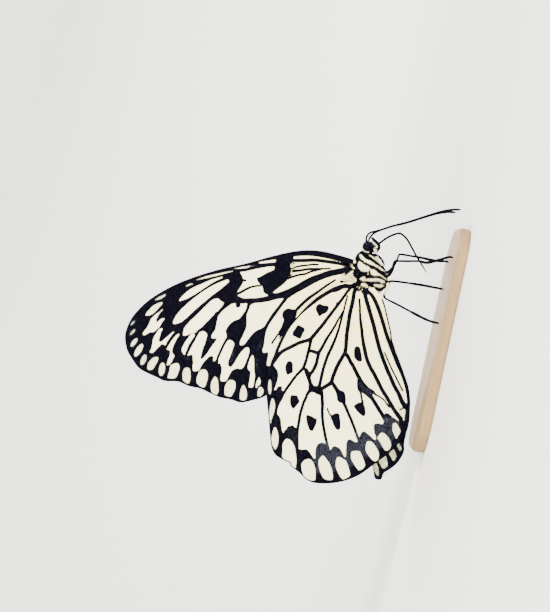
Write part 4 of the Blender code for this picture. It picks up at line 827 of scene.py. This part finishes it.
def paint(points, marks, ground, bleed=WING_BLEED):
    """How deep each point lies in black, in pixels, with cream below zero, and its tone."""
    depth = np.full(len(points), float(ground))
    tone = np.zeros(len(points))
    for colour, kind, rows, mark_tone in marks:
        low, high = rows[:, :2].min(0) - DEEP, rows[:, :2].max(0) + DEEP
        near = np.flatnonzero(((points > low) & (points < high)).all(1))
        if not len(near):
            continue
        gap = (shape_distance if kind == "shape" else line_distance)(points[near], rows)
        if colour in (TINT_MARK, DUST_MARK):
            share = np.clip(0.5 - gap / TINT_EDGE, 0.0, 1.0)
            share *= (depth[near] > -bleed) == (colour == DUST_MARK)
            tone[near] += (mark_tone - tone[near]) * share
        elif colour == BLACK_MARK:
            depth[near] = np.maximum(depth[near], (LINE_SPREAD if kind == "line" else 0.0) - gap)
        else:
            depth[near] = np.minimum(depth[near], gap)
            tone[near] = np.where(gap < TONE_REACH, mark_tone, tone[near])
    return np.clip(depth + bleed, -DEEP, DEEP), tone


def bell(distance, reach):
    return np.exp(-((distance / reach) ** 2))


def bulge(distance, height, reach):
    """A rounded rise or dip at so many pixels' distance from its middle, with height and reach in metres."""
    return height * bell(distance * PIXEL, reach)


def forewing_depth(points):
    return FOREWING_OFF + bulge(np.linalg.norm(points - FOREWING_HINGE, axis=1), *FOREWING_ROOT_RISE)


def hindwing_depth(points):
    """Clear of the forewing that it overlaps, and bulging round the abdomen."""
    to_hinge = np.linalg.norm(points - HINDWING_HINGE, axis=1)
    overlap = line_distance(points, np.array(OVERLAP_LINE))
    abdomen = line_distance(points, smooth(ABDOMEN)[:, :2])
    above = points.sum(1) < sum(OVERLAP_LINE[1])
    return (
        HINDWING_OFF
        + bulge(to_hinge, *HINDWING_ROOT_RISE)
        + bulge(to_hinge, *HINDWING_HINGE_DIP)
        + bulge(np.where(above, 0.0, overlap), *OVERLAP_RISE)
        + bulge(abdomen, *ABDOMEN_RISE)
    )


def wave(points, size, seed):
    """Smooth noise from -1 to 1 over places in the picture."""
    return np.array([noise.noise(Vector((u / size, v / size, seed))) for u, v in points])


def flat_cross(one, two):
    """The cross products of pairs of directions in the picture."""
    return one[:, 0] * two[:, 1] - one[:, 1] * two[:, 0]


def wing_grid(outline):
    """A square grid cut to an outline: its points, quads, corner triangles and distances inside the edge."""
    low, high = outline.min(0) - 2 * GRID, outline.max(0) + 2 * GRID
    columns, rows = np.ceil((high - low) / GRID).astype(int) + 1
    u, v = np.meshgrid(low[0] + GRID * np.arange(columns), low[1] + GRID * np.arange(rows))
    points = np.stack([u.ravel(), v.ravel()], 1)
    gap = shape_distance(points, outline)
    kept = gap < KEEP_OUTSIDE * GRID
    edge = np.flatnonzero(kept & (gap > -SNAP_INSIDE * GRID))
    points[edge] = nearest_on(points[edge], outline)
    index = np.arange(rows * columns).reshape(rows, columns)
    quads = np.stack([index[:-1, :-1], index[:-1, 1:], index[1:, 1:], index[1:, :-1]], -1).reshape(-1, 4)
    within = gap[quads].min(1) < -LEAST_INSIDE * GRID
    there = kept[quads]
    cut = quads[within & (there.sum(1) == 3)]
    gone = np.argmin(kept[cut], axis=1)
    triangles = cut[np.arange(len(cut))[:, None], (gone[:, None] + (1, 2, 3)) % 4]
    quads = quads[within & there.all(1)]
    corners = points[quads]
    size = flat_cross(corners[:, 2] - corners[:, 0], corners[:, 3] - corners[:, 1])
    quads = quads[size > LEAST_QUAD * GRID * GRID]
    corners = points[triangles]
    size = flat_cross(corners[:, 1] - corners[:, 0], corners[:, 2] - corners[:, 0])
    triangles = triangles[size > LEAST_TRIANGLE * GRID * GRID]
    used, index = np.unique(np.concatenate([quads.ravel(), triangles.ravel()]), return_inverse=True)
    quads, triangles = index[:quads.size].reshape(-1, 4), index[quads.size:].reshape(-1, 3)
    return points[used], quads, triangles, np.maximum(-gap[used], 0.0)


def set_values(mesh, **values):
    """Gives a mesh named attributes with a number for each vertex."""
    for key, numbers in values.items():
        attribute = mesh.attributes.new(key, "FLOAT", "POINT")
        attribute.data.foreach_set("value", np.asarray(numbers, np.float32))


def add_object(name, verts, faces, material, **values):
    """A smooth mesh object with these vertex values as named attributes."""
    mesh = bpy.data.meshes.new(name)
    mesh.from_pydata(np.asarray(verts).tolist(), [], [list(map(int, face)) for face in faces])
    set_values(mesh, **values)
    mesh.materials.append(material)
    mesh.shade_smooth()
    obj = bpy.data.objects.new(name, mesh)
    bpy.context.scene.collection.objects.link(obj)
    return obj


def set_map(obj, places):
    """Gives each face corner its place on the baking map."""
    layer = obj.data.uv_layers.new(name="OFBake")
    layer.data.foreach_set("uv", np.asarray(places, np.float32).ravel())


def flat_spots(places, second=False, size=SMALL_MAP_SIZE):
    """Places on the map for a piece seen from its two sides, the second side laid beside the first."""
    low, span = places.min(0), (places.max(0) - places.min(0)).max()
    return MAP_MARGIN + size * (places - low) / span + np.where(second, 0.5, 0.0)[..., None] * (1.0, 0.0)


def rim_edges(quads, triangles):
    """The directed edges that only one face has."""
    edges = []
    for faces in (quads, triangles):
        corners = faces.shape[1]
        edges += [faces[:, [k, (k + 1) % corners]] for k in range(corners)]
    edges = np.concatenate(edges)
    key = edges.min(1) * (int(quads.max()) + 1) + edges.max(1)
    _, first, count = np.unique(key, return_index=True, return_counts=True)
    return edges[first[count == 1]]


def wing(name, side, outline, pattern, veins, depth_at, material, bend=None):
    """A thin wing with raised veins, whose two faces carry the same markings."""
    points, quads, triangles, inner = wing_grid(outline)
    pattern_points = points if bend is None else bend(points)
    dark, tone = paint(pattern_points, *pattern)
    # The far hindwing's corner takes its own marks, whose grey-green spots are painted shade
    if bend is not None:
        far_dark, far_tone = paint(points, *FAR_PATTERN)
        touched = inside(points, FAR_MARKS[0][2])
        dark = np.where(touched, far_dark, dark)
        tone = np.where(touched, far_tone, tone)
    vein = np.full(len(points), FAR_FROM_VEINS)
    for _, _, rows, _ in veins:
        vein = np.minimum(vein, line_distance(pattern_points, rows[:, :2]))
    taper = np.clip(inner / EDGE_TAPER, 0.0, 1.0)
    half = EDGE_HALF + (MEMBRANE_HALF - EDGE_HALF) * taper + RIDGE_HEIGHT * taper * bell(vein, RIDGE_WIDTH)
    pleat = PLEAT_DEPTH * (1.0 - bell(vein, PLEAT_REACH)) * taper
    ripple = WAVE_DEPTH * (wave(points, *BROAD_WAVE) + 0.5 * wave(points, *FINE_WAVE))
    middle = side * (depth_at(points) - pleat + ripple * np.clip(inner / WAVE_EDGE, WAVE_LEAST, 1.0))
    count = len(points)
    verts = np.concatenate([all_at(points, middle + half), all_at(points, middle - half)])
    rim = rim_edges(quads, triangles)
    sides = np.stack([rim[:, 1], rim[:, 0], rim[:, 0] + count, rim[:, 1] + count], 1)
    faces = []
    for group in (quads, quads[:, ::-1] + count, triangles, triangles[:, ::-1] + count, sides):
        faces += group.tolist()
    obj = add_object(f"{name}_sheet", verts, faces, material, dark=np.tile(dark, 2), tone=np.tile(tone, 2))
    near = flat_spots(points, size=WING_MAP_SIZE)
    spots = np.concatenate([near, near + (0.5, 0.0)])
    corners = [i for face in faces[:len(faces) - len(sides)] for i in face]
    set_map(obj, np.concatenate([spots[corners], near[sides.ravel() % count]]))
    return put(obj, name.split("_")[0], name)


def far_shift(points):
    """The far hindwing lies lower and further out near its inner corner."""
    weight = np.clip((points - FAR_START) / FAR_FADE, 0.0, 1.0).prod(1)
    along = np.clip((points[:, :1] - FAR_TURN[0]) / FAR_TURN[1], 0.0, 1.0)
    return points - weight[:, None] * (np.array(FAR_MOVE) + along * FAR_MOVE_CHANGE)


def node_tree(name, roughness, specular=0.5):
    made = bpy.data.materials.new(name)
    made.use_nodes = True
    tree = made.node_tree
    shader = tree.nodes["Principled BSDF"]
    shader.inputs["Roughness"].default_value = roughness
    shader.inputs["Specular IOR Level"].default_value = specular
    return made, tree, shader


def add_node(tree, kind, settings=(), **inputs):
    """A node with these settings and inputs, where i0 is the input with number 0."""
    made = tree.nodes.new(kind)
    for key, value in dict(settings).items():
        setattr(made, key, value)
    for key, value in inputs.items():
        socket = made.inputs[int(key[1:])] if key[0] == "i" and key[1:].isdigit() else made.inputs[key]
        if isinstance(value, bpy.types.NodeSocket):
            tree.links.new(value, socket)
        else:
            socket.default_value = value
    return made


def mix_colour(tree, amount, one, two):
    mixed = add_node(tree, "ShaderNodeMix", {"data_type": "RGBA"}, i0=amount, i6=one, i7=two)
    return mixed.outputs[2]


def noise_value(tree, coordinates, scale, detail=2.0):
    made = add_node(tree, "ShaderNodeTexNoise", Vector=coordinates, Scale=scale, Detail=detail)
    return made.outputs["Fac"]


def stretched_noise(tree, place, scale, detail):
    stretched = add_node(tree, "ShaderNodeMapping", Vector=place, Scale=scale)
    return noise_value(tree, stretched.outputs["Vector"], 1.0, detail)


def ramp(tree, value, low, high):
    ends = {"From Min": low, "From Max": high}
    made = add_node(tree, "ShaderNodeMapRange", {"interpolation_type": "SMOOTHSTEP"}, Value=value, **ends)
    return made.outputs["Result"]


def maths(tree, operation, one, two):
    made = add_node(tree, "ShaderNodeMath", {"operation": operation}, i0=one, i1=two)
    return made.outputs[0]


def object_place(tree):
    return add_node(tree, "ShaderNodeTexCoord").outputs["Object"]


def vertex_value(tree, name):
    return add_node(tree, "ShaderNodeAttribute", {"attribute_name": name}).outputs["Fac"]


def roughen(tree, shader, height, strength, distance):
    bump = add_node(tree, "ShaderNodeBump", Height=height, Strength=strength, Distance=distance)
    tree.links.new(bump.outputs["Normal"], shader.inputs["Normal"])


def scaled_skin(name, near_root, further_out, greenish, black, dusting, softness, roughness):
    """Fine scales whose colour follows the painted darkness and tone."""
    made, tree, shader = node_tree(name, roughness=0.62, specular=0.015)
    place = object_place(tree)
    dark, tone = vertex_value(tree, "dark"), vertex_value(tree, "tone")
    fray = maths(tree, "MULTIPLY", maths(tree, "SUBTRACT", noise_value(tree, place, FRAY_SCALE), 0.5), FRAY)
    covered = ramp(tree, maths(tree, "ADD", dark, fray), -softness, softness)
    centre = tuple(at(*CREAM_CENTRE))
    reach = add_node(tree, "ShaderNodeVectorMath", {"operation": "DISTANCE"}, i0=place, i1=centre)
    reach = reach.outputs["Value"]
    cloud = maths(tree, "SUBTRACT", noise_value(tree, place, CLOUD_SCALE, 3.0), 0.5)
    cloudy_reach = maths(tree, "ADD", reach, maths(tree, "MULTIPLY", cloud, CLOUD_REACH))
    ground = mix_colour(tree, ramp(tree, cloudy_reach, *CREAM_FADE), near_root, further_out)
    mottle = ramp(tree, noise_value(tree, place, MOTTLE_SCALE), 0.2, 0.55)
    ground = mix_colour(tree, maths(tree, "MULTIPLY", tone, mottle), ground, greenish)
    dusty = maths(tree, "ADD", noise_value(tree, place, DUST_SCALE), maths(tree, "MULTIPLY", tone, 0.17))
    night = mix_colour(tree, maths(tree, "MULTIPLY", ramp(tree, dusty, 0.62, 0.78), 0.8), black, dusting)
    tree.links.new(mix_colour(tree, covered, ground, night), shader.inputs["Base Color"])
    roughen(tree, shader, noise_value(tree, place, GRAIN_SCALE, 3.0), roughness, 0.02 * MM)
    return made


def tube(stations, side, sides, steps, inset=0.0, foot=False, swell=None):
    """Points and faces of a closed form through oval rings."""
    rows = smooth(stations, steps)
    points = [station_point(row, side) for row in rows]
    if foot:
        points[-1].z = BASE_TOP
    count = len(points)
    verts = []
    for i, (row, point) in enumerate(zip(rows, points)):
        way = (points[min(i + 1, count - 1)] - points[max(i - 1, 0)]).normalized()
        outward = Vector((0.0, 1.0, 0.0))
        outward = (outward - way * outward.dot(way)).normalized()
        level = way.cross(outward)
        grow = swell(i / (count - 1)) if swell else 1.0
        tall, wide = (max(value * MM * grow - inset, LEAST_HALF) for value in (row[3], row[-1]))
        for k in range(sides):
            turn = 2.0 * math.pi * k / sides
            verts.append(point + level * tall * math.cos(turn) + outward * wide * math.sin(turn))
    faces = []
    for i in range(count - 1):
        for k in range(sides):
            one, two = i * sides + k, i * sides + (k + 1) % sides
            faces.append((one, two, two + sides, one + sides))
    faces.append(tuple(range(sides))[::-1])
    faces.append(tuple(range((count - 1) * sides, count * sides)))
    return np.array(verts), faces


def put(obj, slot, *nodes):
    """Hides the frame nodes that a piece stands for and hangs it under the root; the slot is not used."""
    if nodes:
        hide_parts(*nodes)
    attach(obj, "root")
    return obj


def outward_faces(obj):
    bm = bmesh.new()
    bm.from_mesh(obj.data)
    bmesh.ops.recalc_face_normals(bm, faces=bm.faces)
    bm.to_mesh(obj.data)
    bm.free()


def abdomen_rings(share):
    """The abdomen narrows at each joint between its rings."""
    return 1.0 - 0.07 * math.cos(math.pi * ABDOMEN_RINGS * share) ** 8


def feeler_rings(share):
    """A feeler swells a little between its joints."""
    return 1.0 + 0.06 * abs(math.sin(math.pi * FEELER_RINGS * share))


def leg_swell(rows):
    """A leg's foot has five joints, each a little narrower at its ends."""
    start = 1.0 - FOOT_ROWS / (rows - 1)

    def swell(share):
        if share < start:
            return 1.0
        part = (share - start) / (1.0 - start) * FOOT_JOINTS
        return 0.86 + 0.16 * abs(math.sin(math.pi * part)) ** 0.6
    return swell


def body_skin(material):
    """One skin over head, thorax and abdomen, just inside their solids."""
    verts, faces = [], []
    for stations, swell in ((HEAD, None), (THORAX, None), (ABDOMEN, abdomen_rings)):
        points, rings = tube(stations, LEFT, 48, 8, COAT_DEPTH, swell=swell)
        faces += [tuple(i + len(verts) for i in face) for face in rings]
        verts += [tuple(p) for p in points]
    obj = add_object("body_skin", verts, faces, material)
    outward_faces(obj)
    remesh = obj.modifiers.new("remesh", "REMESH")
    remesh.mode, remesh.voxel_size, remesh.use_smooth_shade = "VOXEL", SKIN_VOXEL, True
    relax = obj.modifiers.new("relax", "SMOOTH")
    relax.factor, relax.iterations = 0.5, 6
    graph = bpy.context.evaluated_depsgraph_get()
    mesh = bpy.data.meshes.new_from_object(obj.evaluated_get(graph))
    obj.modifiers.clear()
    obj.data = mesh
    dark, tone = body_paint(vertex_places(mesh))
    set_values(mesh, dark=dark, tone=tone)
    return put(obj, "thorax", "head", "thorax", "abdomen")


def vertex_places(mesh):
    found = np.empty(len(mesh.vertices) * 3, np.float32)
    mesh.vertices.foreach_get("co", found)
    return found.reshape(-1, 3).astype(float)


def body_paint(points):
    """Darkness and tone on the body: bands on the thorax and head, and a back stripe on the abdomen."""
    places = pixels_of(points)
    dark, tone = paint(places, *BODY_PATTERN)
    rear_dark, rear_tone = paint(places, *ABDOMEN_PATTERN)
    rear = places[:, 1] > WAIST[1] - WAIST_SLOPE * (places[:, 0] - WAIST[0])
    return np.where(rear, rear_dark, dark), np.where(rear, rear_tone, tone)


def skin_samples(obj, count, seed):
    """Random places on a mesh, evenly spread over its area, with their normals."""
    mesh = obj.data
    mesh.calc_loop_triangles()
    tris = np.empty(len(mesh.loop_triangles) * 3, np.int32)
    mesh.loop_triangles.foreach_get("vertices", tris)
    corners = vertex_places(mesh)[tris.reshape(-1, 3)]
    cross = np.cross(corners[:, 1] - corners[:, 0], corners[:, 2] - corners[:, 0])
    area = np.linalg.norm(cross, axis=1)
    random = np.random.default_rng(seed)
    picked = random.choice(len(area), count, p=area / area.sum())
    one, two = random.random(count), random.random(count)
    flip = one + two > 1.0
    one[flip], two[flip] = 1.0 - one[flip], 1.0 - two[flip]
    c = corners[picked]
    places = c[:, 0] + one[:, None] * (c[:, 1] - c[:, 0]) + two[:, None] * (c[:, 2] - c[:, 0])
    return places, unit(cross[picked]), random


def unit(vectors):
    return vectors / np.maximum(np.linalg.norm(vectors, axis=1), 1e-12)[:, None]


def tufts(name, roots, normals, lie, length, width, lift, dark, tone, spots, material):
    """Thin bent blades of three sides, each rooted in the skin and lying along it."""
    count = len(roots)
    along = unit(lie - normals * (lie * normals).sum(1)[:, None])
    across = np.cross(normals, along)
    length, width, lift = (np.broadcast_to(v, count)[:, None] for v in (length, width, lift))
    ring = []
    for far, raised, aside, up in TUFT_POINTS:
        foot = roots if far else roots - normals * TUFT_ROOT
        reach = (along * far + normals * lift * raised) * length
        ring.append(foot + reach + (across * aside + normals * up) * width)
    verts = np.stack(ring, 1).reshape(-1, 3)
    each = len(TUFT_POINTS)
    faces = [tuple(each * i + k for k in face) for i in range(count) for face in TUFT_FACES]
    obj = add_object(name, verts, faces, material, dark=np.repeat(dark, each), tone=np.repeat(tone, each))
    local = np.array([(aside, far + (0.1 if up else 0.0)) for far, _, aside, up in TUFT_POINTS]) * TUFT_PATCH
    corner = np.array([k for face in TUFT_FACES for k in face])
    set_map(obj, (spots[:, None, :] + local[corner][None]).reshape(-1, 2))
    return obj


def body_spots(points):
    """The body unwrapped round its own axis: the way round across the map, and the way back up it."""
    places = pixels_of(points)
    axis = np.interp(places[:, 1], *zip(*BODY_AXIS))
    turn = np.arctan2(points[:, 1] / PIXEL, places[:, 0] - axis) / (2.0 * math.pi) + 0.5
    back = np.clip((places[:, 1] - BODY_FRONT) / BODY_LENGTH, 0, 1)
    return MAP_MARGIN + BODY_MAP_SIZE * np.stack([turn, back], 1)


def picture_way(points, across, down):
    """A direction given in the picture, for every point."""
    way = np.array(at(across, down) - at(0, 0))
    return np.tile(way / np.linalg.norm(way), (len(points), 1))


def body_coat(skin, material):
    """Scales and short hair over the body, smallest on the head."""
    roots, normals, random = skin_samples(skin, COAT_COUNT, COAT_SEED)
    places = pixels_of(roots)
    head = places[:, 1] < NECK
    rear = places[:, 1] > REAR
    eye = np.zeros(len(roots), bool)
    for side in (RIGHT, LEFT):
        centre = np.array(at(*EYE_CENTRE, side * EYE_DEPTH))
        eye |= np.linalg.norm((roots - centre) / (1.0, 0.8, 1.0), axis=1) < EYE_RADIUS * EYE_CLEAR
    keep = ~eye & (random.random(len(roots)) < np.where(rear, REAR_SHARE, 1.0))
    roots, normals, head, rear = (v[keep] for v in (roots, normals, head, rear))
    count = len(roots)
    dark, tone = body_paint(roots)
    on_head, on_rear, on_thorax = (np.array(hair)[:, None] for hair in (HEAD_HAIR, REAR_HAIR, THORAX_HAIR))
    length, width, lift = np.where(head, on_head, np.where(rear, on_rear, on_thorax))
    lie = picture_way(roots, 0.15, 1.0) + random.normal(0.0, 0.22, (count, 3))
    length = length * random.uniform(0.7, 1.35, count)
    width = width * random.uniform(0.7, 1.3, count)
    lift = lift + random.uniform(0.0, 0.22, count)
    dark = dark + random.normal(0.0, 0.25, count)
    spots = body_spots(roots)
    coat = tufts("body_coat", roots, normals, lie, length, width, lift, dark, tone, spots, material)
    put(coat, "thorax")


def limb(name, stations, side, slot, material, node, foot=False, sides=12, steps=8, swell=None,
         pattern=LEG_PATTERN):
    verts, faces = tube(stations, side, sides, steps, foot=foot, swell=swell)
    dark, tone = paint(pixels_of(verts), *pattern)
    obj = add_object(name, verts, faces, material, dark=dark, tone=tone)
    outward_faces(obj)
    return put(obj, slot, node)


def leg_bristles(name, stations, side, slot, material, seed):
    """Fine bristles along the leg, and two claws at the foot."""
    rows = smooth(stations, BRISTLE_STEPS)
    points = [np.array(station_point(row, side)) for row in rows]
    random = np.random.default_rng(seed)
    blades = []
    for row, point, beyond in list(zip(rows, points, points[1:]))[BRISTLE_START:]:
        way = (beyond - point) / np.linalg.norm(beyond - point)
        outward = np.cross(way, (0.0, 1.0, 0.0))
        outward /= np.linalg.norm(outward)
        level = np.cross(way, outward)
        for _ in range(BRISTLES_EACH):
            turn = random.uniform(0.0, 2.0 * math.pi)
            normal = outward * math.cos(turn) + level * math.sin(turn)
            root = point + normal * row[3] * MM * BRISTLE_ROOT
            blades.append((root, normal, way, random.uniform(*BRISTLE_LENGTHS), BRISTLE_WIDTH, BRISTLE_LIFT))
    tip, before = points[-1], points[-6]
    tip[2] = BASE_TOP + CLAW_HEIGHT
    forward = tip - before
    forward[2] = 0.0
    forward /= np.linalg.norm(forward)
    sideways = np.cross(forward, (0.0, 0.0, 1.0))
    for sign in (-1.0, 1.0):
        root, way = tip + sideways * sign * CLAW_GAP, forward + sideways * sign * CLAW_SPREAD
        blades.append((root, np.array((0.0, 0.0, 1.0)), way, CLAW_LENGTH, CLAW_WIDTH, CLAW_LIFT))
    count = len(blades)
    spots = np.stack([random.uniform(0.05, 0.95, count), np.linspace(0.05, 0.95, count)], 1)
    obj = tufts(name, *map(np.array, zip(*blades)), np.full(count, DEEP), np.zeros(count), spots, material)
    return put(obj, slot)


def surface_coat(name, obj, count, seed, way, length, width, lift, slot, material, pattern):
    """Short hair over a small piece such as a palp."""
    roots, normals, random = skin_samples(obj, count, seed)
    dark, tone = paint(pixels_of(roots), *pattern)
    lie = picture_way(roots, *way) + random.normal(0.0, 0.2, (count, 3))
    spots = flat_spots(pixels_of(roots), normals[:, 1] > 0.0)
    made = tufts(name, roots, normals, lie, length * random.uniform(0.7, 1.3, count), width,
                 lift * random.uniform(0.5, 1.5, count), dark, tone, spots, material)
    return put(made, slot)


# Where hair grows at the wings' roots: how many, the middle, the half spread, the way it lies and its wing
HAIR_FIELDS = (
    (300, (348.0, 276.5), (7.0, 5.0), (-1.0, 0.25), forewing_depth, FOREWING_PATTERN),
    (130, (350.0, 265.2), (5.0, 2.2), (-1.0, -0.05), forewing_depth, FOREWING_PATTERN),
    (320, (361.0, 288.0), (9.0, 4.5), (-0.12, 1.0), hindwing_depth, HINDWING_PATTERN),
)


def wing_hair(name, side, material):
    """Fine hair where the wings leave the thorax, coloured as the wing under it."""
    random = np.random.default_rng(31 + side)
    parts = []
    for count, centre, spread, way, depth_at, pattern in HAIR_FIELDS:
        places = np.array(centre) + random.uniform(-1.0, 1.0, (count, 2)) * spread
        roots = all_at(places, side * (depth_at(places) + HAIR_RISE))
        dark, tone = paint(places, *pattern)
        away = places - WING_ROOT
        lie = picture_way(roots, *way) * 0.6 + unit(all_at(away, np.zeros(count)) - np.array(at(0, 0))) * 0.7
        lie += random.normal(0.0, 0.12, (count, 3))
        parts.append((roots, lie, dark, tone))
    roots, lie, dark, tone = (np.concatenate(v) for v in zip(*parts))
    count = len(roots)
    spots = flat_spots(pixels_of(roots), np.arange(count) >= count - HAIR_FIELDS[-1][0])
    normals = np.tile((0.0, float(side), 0.0), (count, 1))
    tone = np.clip(tone + random.uniform(-0.1, 0.3, count), 0.0, 1.0)
    made = tufts(name, roots, normals, lie, random.uniform(*HAIR_LENGTHS, count) * MM, HAIR_WIDTH,
                 random.uniform(*HAIR_LIFTS, count), dark, tone, spots, material)
    return put(made, "hindwing")


def eye(side, word, material):
    bm = bmesh.new()
    bmesh.ops.create_uvsphere(bm, u_segments=56, v_segments=36, radius=1.0)
    centre = at(*EYE_CENTRE, side * EYE_DEPTH)
    for vert in bm.verts:
        x, y, z = vert.co
        vert.co = centre + Vector((x * EYE_RADIUS, y * EYE_HALF_WIDTH, z * EYE_RADIUS))
    mesh = bpy.data.meshes.new(f"eye_{word}")
    bm.to_mesh(mesh)
    bm.free()
    mesh.materials.append(material)
    mesh.shade_smooth()
    obj = bpy.data.objects.new(f"eye_{word}_dome", mesh)
    bpy.context.scene.collection.objects.link(obj)
    return put(obj, "eye", f"eye_{word}")


def eye_look():
    """A dark glossy eye with faint facets and bluer patches."""
    made, tree, shader = node_tree("eye", roughness=0.14, specular=0.035)
    place = object_place(tree)
    facets = add_node(tree, "ShaderNodeTexVoronoi", Vector=place, Scale=FACET_SCALE)
    patch = ramp(tree, noise_value(tree, place, 900.0), 0.4, 0.65)
    tree.links.new(mix_colour(tree, patch, EYE_NAVY, EYE_BLUER), shader.inputs["Base Color"])
    roughen(tree, shader, facets.outputs["Distance"], 0.12, 0.01 * MM)
    return made


def wood_look():
    """Pale close-grained wood, its grain along the base."""
    made, tree, shader = node_tree("pale_wood", roughness=0.6, specular=0.15)
    place = object_place(tree)
    grain = stretched_noise(tree, place, (14.0, 260.0, 260.0), 6.0)
    pores = stretched_noise(tree, place, (90.0, 2200.0, 2200.0), 3.0)
    broad = mix_colour(tree, ramp(tree, grain, 0.3, 0.7), WOOD_PALE, WOOD_BROWN)
    flecks = maths(tree, "MULTIPLY", ramp(tree, pores, 0.56, 0.72), 0.35)
    tree.links.new(mix_colour(tree, flecks, broad, WOOD_DARK), shader.inputs["Base Color"])
    roughen(tree, shader, pores, 0.12, 0.05 * MM)
    return made


def camera_and_light():
    scene = bpy.context.scene
    data = bpy.data.cameras.new("camera")
    data.sensor_width = SENSOR
    data.lens = SENSOR * CAMERA_DISTANCE / (PICTURE[1] * PIXEL)
    data.clip_start, data.clip_end = 0.01, 20.0
    camera = bpy.data.objects.new("camera", data)
    scene.collection.objects.link(camera)
    right = (at(1, 0) - at(0, 0)).normalized()
    up = (at(0, 0) - at(0, 1)).normalized()
    back = right.cross(up)
    place = at(PICTURE[0] / 2, PICTURE[1] / 2) + back * CAMERA_DISTANCE
    turned = Matrix((right, up, back)).transposed().to_4x4()
    camera.matrix_world = Matrix.Translation(place) @ turned
    scene.camera = camera

    world = bpy.data.worlds.new("studio")
    world.use_nodes = True
    sky = world.node_tree.nodes["Background"].inputs
    sky["Color"].default_value, sky["Strength"].default_value = SKY
    scene.world = world
    for name, place, size, power, colour in LAMPS:
        lamp = bpy.data.lights.new(name, "AREA")
        lamp.shape, lamp.size, lamp.energy, lamp.color = "DISK", size, power, colour
        obj = bpy.data.objects.new(name, lamp)
        obj.location = place
        obj.rotation_euler = (Vector(LAMP_TARGET) - obj.location).to_track_quat("-Z", "Y").to_euler()
        scene.collection.objects.link(obj)


def backdrop():
    """A pale floor that curves up into a low wall all round."""
    radius, bend, top, steps, turns = 0.9, 0.35, 0.75, 12, 96
    profile = [(radius, 0.0)]
    for step in range(1, steps + 1):
        turn = math.radians(90.0) * step / steps
        profile.append((radius + bend * math.sin(turn), bend * (1.0 - math.cos(turn))))
    profile.append((radius + bend, top))
    verts = [(0.0, 0.0, 0.0)]
    for out, height in profile:
        for k in range(turns):
            turn = 2.0 * math.pi * k / turns
            verts.append((out * math.cos(turn), out * math.sin(turn), height))
    faces = [(0, 1 + k, 1 + (k + 1) % turns) for k in range(turns)]
    for ring in range(len(profile) - 1):
        for k in range(turns):
            one, two = 1 + ring * turns + k, 1 + ring * turns + (k + 1) % turns
            faces.append((one, one + turns, two + turns, two))
    made, _, shader = node_tree("pale_floor", roughness=0.9)
    shader.inputs["Base Color"].default_value = (0.84, 0.84, 0.81, 1.0)
    floor = add_object("floor", verts, faces, made)


camera_and_light()
backdrop()
WING_LOOK = scaled_skin(
    "wing_scales", (0.90, 0.80, 0.40, 1), (0.90, 0.84, 0.55, 1), (0.15, 0.19, 0.11, 1),
    (0.0005, 0.0005, 0.0024, 1), (0.045, 0.050, 0.075, 1), 0.20, 0.35,
)
BODY_LOOK = scaled_skin(
    "body_scales", (0.90, 0.82, 0.52, 1), (0.86, 0.78, 0.50, 1), (0.17, 0.19, 0.12, 1),
    (0.0008, 0.0008, 0.0028, 1), (0.030, 0.034, 0.055, 1), 0.40, 0.4,
)
for side, word in SIDES:
    wing(f"forewing_{word}", side, FOREWING_OUTLINE, FOREWING_PATTERN, FOREWING_VEINS, forewing_depth,
         WING_LOOK)
    wing(f"hindwing_{word}", side, HINDWING_OUTLINES[side], HINDWING_PATTERN, HINDWING_VEINS, hindwing_depth,
         WING_LOOK, far_shift if side == LEFT else None)
    wing_hair(f"wing_hair_{word}", side, BODY_LOOK)

skin = body_skin(BODY_LOOK)
body_coat(skin, BODY_LOOK)
EYE_LOOK = eye_look()
for side, word in SIDES:
    eye(side, word, EYE_LOOK)
    palp = limb(f"palp_{word}_form", PALP, side, "palp", BODY_LOOK, f"palp_{word}", sides=20,
                pattern=PALP_PATTERN)
    surface_coat(f"palp_{word}_coat", palp, 700, 5 + side, (-0.3, -1.0), 0.26 * MM, 0.05 * MM, 0.35,
                 "palp", BODY_LOOK, PALP_PATTERN)
    limb(f"antenna_{word}_form", ANTENNAE[side], side, "antenna", BODY_LOOK, f"antenna_{word}", steps=22,
         swell=feeler_rings)
    fore = limb(f"foreleg_{word}_form", FORELEG, side, "foreleg", BODY_LOOK, f"foreleg_{word}")
    surface_coat(f"foreleg_{word}_coat", fore, 260, 9 + side, (0.5, 1.0), 0.22 * MM, 0.045 * MM, 0.4,
                 "foreleg", BODY_LOOK, LEG_PATTERN)
    for kind in ("midleg", "hindleg"):
        node = f"{kind}_{word}"
        limb(f"{node}_form", LEGS[node], side, "walking_leg", BODY_LOOK, node, foot=True,
             swell=leg_swell(len(LEGS[node])))
        leg_bristles(f"{node}_bristles", LEGS[node], side, "walking_leg", BODY_LOOK, len(node) + side)
limb("proboscis_form", PROBOSCIS, LEFT, "proboscis", BODY_LOOK, "proboscis")
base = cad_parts["stand_base"]
base.data.materials.clear()
base.data.materials.append(wood_look())
